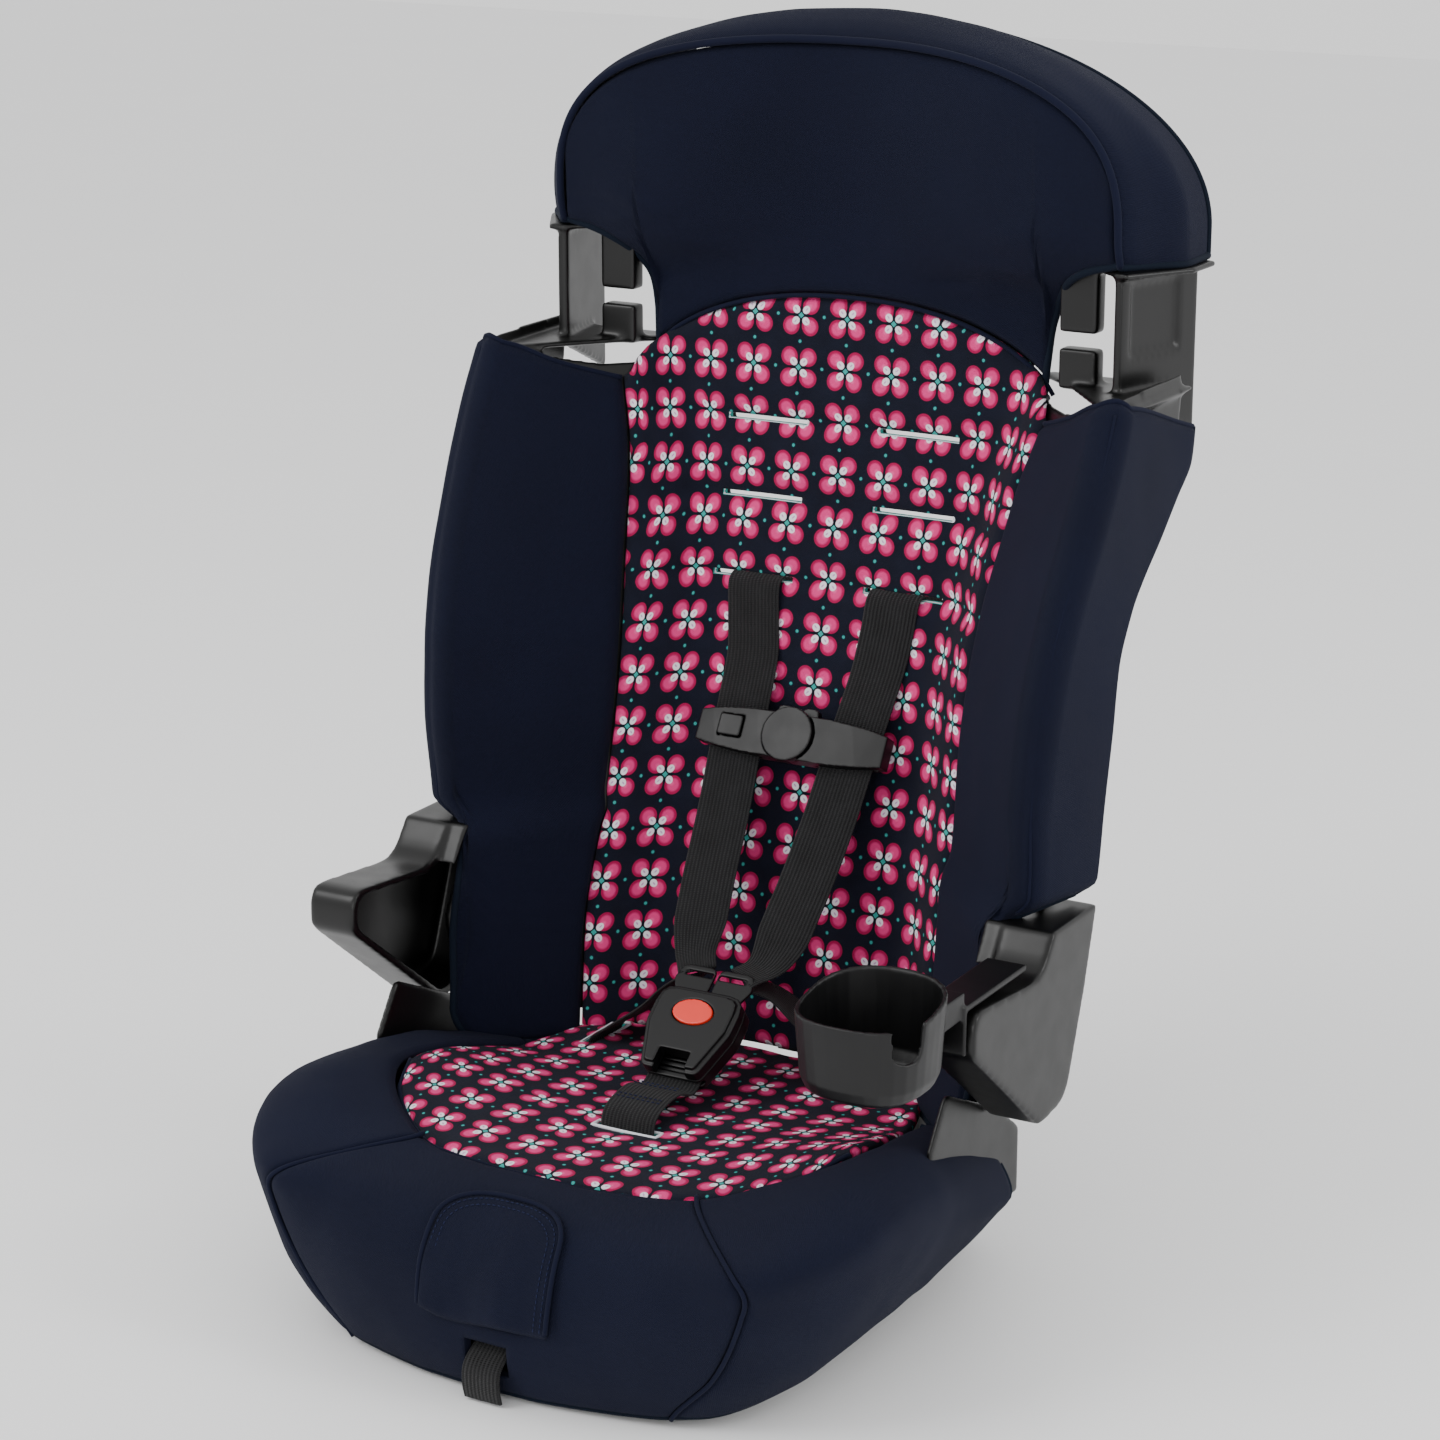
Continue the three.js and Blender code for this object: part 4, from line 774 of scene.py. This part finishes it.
# ------------------------------------------------------------------ seat cover
COVER_RINGS = [
    [(0, -200, 3), (55, -196, 3), (100, -187, 4), (138, -168, 7), (168, -142, 20), (188, -95, 38), (190, -10, 39),
     (192, 66, 48)],
    [(0, -205, 30), (60, -202, 31), (112, -194, 33), (155, -176, 36), (184, -144, 46), (198, -92, 56), (199, -8, 58),
     (200, 68, 58)],
    [(0, -201, 76), (64, -200, 78), (118, -198, 80), (164, -189, 84), (198, -152, 90), (212, -94, 92), (210, -6, 84),
     (208, 70, 68)],
    [(0, -184, 101), (62, -186, 102), (116, -188, 104), (163, -190, 106), (202, -148, 116), (213, -94, 122),
     (209, -6, 106), (206, 72, 78)],
    [(0, -163, 113), (58, -162, 113), (104, -159, 115), (138, -155, 119), (178, -128, 130), (192, -88, 134),
     (190, -4, 124), (188, 74, 100)],
    [(0, -139, 117), (52, -136, 117), (88, -128, 119), (112, -113, 123), (142, -84, 130), (160, -46, 133),
     (155, 12, 120), (142, 74, 104)],
]
ring_lines = []
for half in COVER_RINGS:
    left = [(-x, y, z) for x, y, z in reversed(half[1:])]
    ring_lines.append(centripetal(left + half))


def cover_column(u):
    return centripetal([line(min(max(u, 0.0), 1.0)) for line in ring_lines])


def cover_point(u, h, out):
    """A place on the seat cover, the given distance proud of it."""
    e = 0.008
    du = cover_column(u + e)(h) - cover_column(u - e)(h)
    column = cover_column(u)
    dv = column(min(h + e, 1)) - column(max(h - e, 0))
    return column(h) - dv.cross(du).normalized() * out


def seam_u(h):
    """How far from the middle the corner seam runs: it bows outwards half way up."""
    return 3 / 14 * (1 - 0.24 * step(abs(h - 0.48), 0.0, 0.5))


def front_span(h):
    return 0.501 - seam_u(h), 0.499 + seam_u(h)


def left_span(h):
    return 0.501 + seam_u(h), 1.0


def right_span(h):
    return 0.0, 0.499 - seam_u(h)


def seat_panel(name, span, columns, rows=44, seed=0):
    def at(u, v, side):
        h = v * 0.995
        w = mix(*span(h), u)
        if side:
            return cover_point(w, h, 1 - PAD)
        deep = roll(u, v, 260, 200, 8, 3.4) - puff(u, v, 1.6)
        deep -= 1.5 * crease(cover_point(w, h, 0), 52, 21 + seed)
        return cover_point(w, h, -min(deep, 4.0))
    return panel(name, columns, rows, at), at


for name, node, span, columns, seed in (
        ("seat_cloth_front", "seat_cover_front", front_span, 90, 0),
        ("seat_cloth_left", "seat_cover_left", left_span, 60, 1),
        ("seat_cloth_right", "seat_cover_right", right_span, 60, 2)):
    cover, cover_at = seat_panel(name, span, columns, seed=seed)
    if seed == 0:
        cut_out(cover, [((-25, -240, 48), (25, -170, 80)), ((-14.5, -240, 17), (14.5, -180, 37))])
    finish_piece(cover, NAVY, "base", [node])
    hem = [cover_at(t / 60, 0.0, 0) for t in range(61)]
    finish_piece(tube(name + "_hem", hem, 1.8), BINDING, "base")
    if seed:
        rear = [cover_at(1.0 if seed == 1 else 0.0, t / 30, 0) for t in range(31)]
        finish_piece(tube(name + "_rear_binding", rear, 2.2), BINDING, "base")
for sign, side_name in ((1, "left"), (-1, "right")):
    line = [cover_point(0.5 + sign * seam_u(t / 50), t / 50, -0.9) for t in range(51)]
    finish_piece(tube(f"seat_corner_seam_{side_name}", line, 1.5), NAVY, "base")

SEAT_REAR = 126.0
insert_edge = curve([[0, -139], [52, -136], [88, -128], [112, -113], [142, -84], [157, -50]])
seat_half = curve([[-139, 157], [-46, 157], [12, 152], [74, 139], [SEAT_REAR, 120]])
seat_mid = curve([[-139, 116], [-90, 114], [-43, 111], [40, 106], [SEAT_REAR, 106]])
seat_edge = curve([[-139, 117], [-113, 122], [-84, 129], [-46, 132], [12, 119], [74, 103], [SEAT_REAR, 104]])


def seat_point(share, v, depth):
    x0 = 157 * (1.3 * share - 0.3 * share ** 3)
    front = insert_edge(abs(x0))
    y = mix(front + 0.8, SEAT_REAR + 6, v)
    x = x0 / 157 * (seat_half(y) - 0.8)
    lift = min(abs(x) / seat_half(y), 1) ** 2.2
    z = mix(seat_mid(y), max(seat_edge(max(y, front)), seat_mid(y)), lift)
    return Vector((x, y, z - depth))


def seat_at(u, v, side):
    p = seat_point(2 * u - 1, v, 0)
    if side:
        return p - Vector((0, 0, 7))
    deep = roll(u, v, 310, 250, 9, 4.0) - puff(u, v, 1.5) - 1.4 * crease((p.x, p.y, 0), 40, 31)
    slot = math.exp(-((p.y + 44) / 9) ** 2) * (1 - step(abs(p.x), 18, 45))
    return p - Vector((0, 0, deep + 1.5 * slot))


seat_cloth = panel("seat_insert_cloth", 84, 72, seat_at, level=1)
cut_out(seat_cloth, [((-21, -47.5, 60), (21, -40.5, 150)), ((98.5, 78, 60), (107.5, 122, 150)),
                     ((-107.5, 78, 60), (-98.5, 122, 150))])
finish_piece(seat_cloth, FLORAL, "base", ["seat_insert"])
rim = [seat_at(t / 120, 0.0, 0) + Vector((0, 0, 1.6)) for t in range(121)]
finish_piece(tube("seat_insert_piping", rim, 1.5), NAVY, "base")


def seat_loop(x0, x1, y0, y1):
    out = []
    for a, b in (((x0, y0), (x1, y0)), ((x1, y0), (x1, y1)), ((x1, y1), (x0, y1)), ((x0, y1), (x0, y0))):
        for t in range(6):
            x, y = mix(a[0], b[0], t / 6), mix(a[1], b[1], t / 6)
            lift = min(abs(x) / seat_half(y), 1) ** 2.2
            z = mix(seat_mid(y), max(seat_edge(y), seat_mid(y)), lift)
            out.append((x, y, z + 0.6))
    return out


finish_piece(tube("crotch_slot_binding", seat_loop(-22.5, 22.5, -48.5, -39.5), 1.1, closed=True, spacing=1.8, sides=8), WHITE,
             "base")
for sign, side_name in ((1, "left"), (-1, "right")):
    x0, x1 = sorted((sign * 97.5, sign * 108.5))
    loop = tube(f"hip_slot_binding_{side_name}", seat_loop(x0, x1, 77, 123), 1.1, closed=True, spacing=1.8, sides=8)
    finish_piece(loop, WHITE, "base")

# ------------------------------------------------------------------ flap over the adjuster
FLAP_SPREAD, FLAP_FOOT, FLAP_SHOULDER, FLAP_RISE = 0.049, 0.28, 0.56, 0.18


def flap_arch(share):
    return max(1 - min(abs(share), 1) ** 2.6, 0) ** 0.5


def flap_place(u, v, out):
    share = 2 * u - 1
    foot = FLAP_FOOT + 0.008 * math.sin(share * 4.1 + 0.6) + 0.012 * abs(share) ** 3
    wave = (1 - v) ** 2 * (1.8 * math.sin(share * 5.5 + 0.4) + 1.6)
    return cover_point(0.5 + FLAP_SPREAD * share, mix(foot, FLAP_SHOULDER + FLAP_RISE * flap_arch(share), v), out + wave)


def flap_at(u, v, side):
    if side:
        return flap_place(u, v, 2.0)
    return flap_place(u, v, 5.2 - roll(u, v, 100, 75, 5, 2.2) + 0.8 * crease(flap_place(u, v, 0), 22, 41))


flap = panel("front_flap_cloth", 60, 44, flap_at)
finish_piece(flap, NAVY, "base", ["front_flap"])


def flap_line(inset):
    arch = []
    for k in range(61):
        share = math.cos(math.pi * k / 60)
        rise = FLAP_SHOULDER - inset * 0.002 + (FLAP_RISE - inset * 0.0045) * flap_arch(share)
        arch.append((share * (1 - inset / 51), rise))
    first, last = arch[0], arch[-1]
    legs = [(first[0], mix(FLAP_FOOT + 0.02, first[1], t / 8)) for t in range(8)]
    ends = [(last[0], mix(last[1], FLAP_FOOT + 0.02, t / 8)) for t in range(1, 9)]
    return [cover_point(0.5 + FLAP_SPREAD * share, h, 5.4 + max(0.38 - h, 0) * 14) for share, h in legs + arch + ends]


for k, inset in enumerate((4.0, 9.0)):
    finish_piece(stitches(f"flap_stitching_{k}", flap_line(inset)), THREAD, "base")
finish_piece(tube("flap_edge", flap_line(-0.5), 1.5), NAVY, "base")

# ------------------------------------------------------------------ harness
CLIP_FROM, CLIP_TO = Vector((46, 196, 352)), Vector((38, 144, 262))


def shoulder_path(sign):
    top = SLOT_HEIGHTS[0]
    points = [(51, 262, 330), (51, 243, 388), (51, 228, top + 0.5), (51, 208, top - 1), (49, 202, 376), CLIP_FROM,
              CLIP_FROM.lerp(CLIP_TO, 0.33), CLIP_FROM.lerp(CLIP_TO, 0.66), CLIP_TO, (33, 112, 216), (26, 86, 183), (16, 70, 176)]
    return [(sign * p[0], p[1], p[2]) for p in points]


for sign, side_name in ((1, "left"), (-1, "right")):
    web = strap(f"shoulder_webbing_{side_name}", shoulder_path(sign), lambda t: (1, 0, 0),
                ripple=0.5 if sign > 0 else 0.2, end=25)
    finish_piece(web, WEB, None, [f"shoulder_strap_{side_name}"])
    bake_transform(web)
    hip = strap(f"hip_webbing_{side_name}", [(sign * x, y, z) for x, y, z in (
        (17, 72, 173), (32, 86, 163), (58, 95, 140), (88, 99, 119), (102.5, 100, 108), (104, 100, 98), (104, 100, 88))],
        lambda t, s=sign: (s * mix(0.5, 0, t), -1, 0), start=24)
    finish_piece(hip, WEB, "base", [f"hip_strap_{side_name}"])
crotch = strap("crotch_webbing", [(0, -44, 78), (0, -44, 112), (0, -40, 121), (0, -14, 127), (0, 6, 121.5),
                                  (0, 17, 128.5)], lambda t: (1, 0, 0), thick=1.9)
finish_piece(crotch, WEB, "base", ["crotch_strap"])
for k, y in enumerate((-30, -27, -9, -6)):
    z = 127.4 + (y + 27) * (0.25 if y < -20 else 0.02)
    line = [(mix(-16, 16, t / 10), y, z) for t in range(11)]
    finish_piece(stitches(f"crotch_stitching_{k}", line), THREAD, "base")
rear = strap("rear_webbing", [(0, 262.6, 282), (0, 240, 240), (0, 212, 160), (0, 190, 110), (0, 183, 84)],
             lambda t: (1, 0, 0))
finish_piece(rear, WEB, None, ["harness_rear_strap"])
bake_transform(rear)
under = strap("under_webbing", [(0, 181, 66), (0, 150, 62), (0, 40, 61), (0, -100, 63), (0, -176, 70.6)],
              lambda t: (1, 0, 0))
finish_piece(under, WEB, "base", ["harness_under_strap"])
pull = strap("pull_webbing", [(0, -197, 32), (0, -210, 22), (0, -211, 10), (0, -209, 1.8)], lambda t: (1, 0, 0),
             width=26, thick=2.0, spacing=1.5)
finish_piece(pull, WEB, "base", ["pull_strap"])

# ------------------------------------------------------------------ moulded pieces keep their solids, with eased edges
LOOKS = {"satin_black_plastic": SATIN, "moulded_plastic": MOULDED, "red_plastic": RED, "steel": STEEL, "foam": FOAM}
record = frame["record"]
slots = {s["node"]: s["material_slot"] for s in record["subparts"]}
FINE = {"back_shell": 0.0016, "base_shell": 0.0018, "cup_holder": 0.0009}
for name, obj in NODES.items():
    if obj.hide_render:
        continue
    obj.data.materials.clear()
    obj.data.materials.append(LOOKS.get(slots[name], NAVY))
    if slots[name] in ("moulded_plastic", "satin_black_plastic", "red_plastic") and "pin" not in name:
        voxel = obj.modifiers.new("eased", "REMESH")
        voxel.mode = "VOXEL"
        voxel.voxel_size = FINE.get(name, 0.0006)
        voxel.use_smooth_shade = True
        relax = obj.modifiers.new("relaxed", "SMOOTH")
        relax.factor = 0.5
        relax.iterations = 14 if name == "back_shell" else 6
    else:
        edge = obj.modifiers.new("eased", "BEVEL")
        edge.width = 0.0003
        edge.segments = 2
        edge.limit_method = "ANGLE"

# ------------------------------------------------------------------ stage
bpy.ops.mesh.primitive_plane_add(size=14, location=(0, 0, -0.0005))
floor = bpy.context.object
floor.name = "floor"
pale = Shade("pale_floor", 0.6)
pale.colour(pale.blend(pale.noise(pale.coordinates("Object"), 3.0), (0.9, 0.9, 0.91, 1), (0.93, 0.93, 0.93, 1)))
floor.data.materials.append(pale.material)

world = bpy.data.worlds.new("studio")
bpy.context.scene.world = world
world.use_nodes = True
world.node_tree.nodes["Background"].inputs["Color"].default_value = (1, 1, 1, 1)
world.node_tree.nodes["Background"].inputs["Strength"].default_value = 1.2


def lamp(name, place, aim, size, power):
    data = bpy.data.lights.new(name, "AREA")
    data.shape = "RECTANGLE"
    data.size, data.size_y = size
    data.energy = power
    obj = bpy.data.objects.new(name, data)
    bpy.context.scene.collection.objects.link(obj)
    obj.location = place
    obj.rotation_euler = (Vector(aim) - Vector(place)).to_track_quat("-Z", "Y").to_euler()


lamp("key", (-1.6, -1.9, 2.3), (0, 0, 0.35), (1.4, 1.4), 42)
lamp("rim", (2.4, 0.4, 1.5), (0, 0, 0.4), (0.7, 1.8), 26)
lamp("front", (1.0, -2.6, 1.0), (0, 0, 0.3), (1.6, 0.9), 14)

camera_data = bpy.data.cameras.new("camera")
camera_data.sensor_width = 36
camera_data.lens = 91.46
camera = bpy.data.objects.new("camera", camera_data)
bpy.context.scene.collection.objects.link(camera)
azimuth, elevation, away = math.radians(29.56), math.radians(16.35), 2.27325
target = Vector((0, 0.03217, 0.34396))
camera.location = target + Vector((math.sin(azimuth) * math.cos(elevation), -math.cos(azimuth) * math.cos(elevation),
                                   math.sin(elevation))) * away
camera.rotation_euler = (target - camera.location).to_track_quat("-Z", "Y").to_euler()
bpy.context.scene.camera = camera
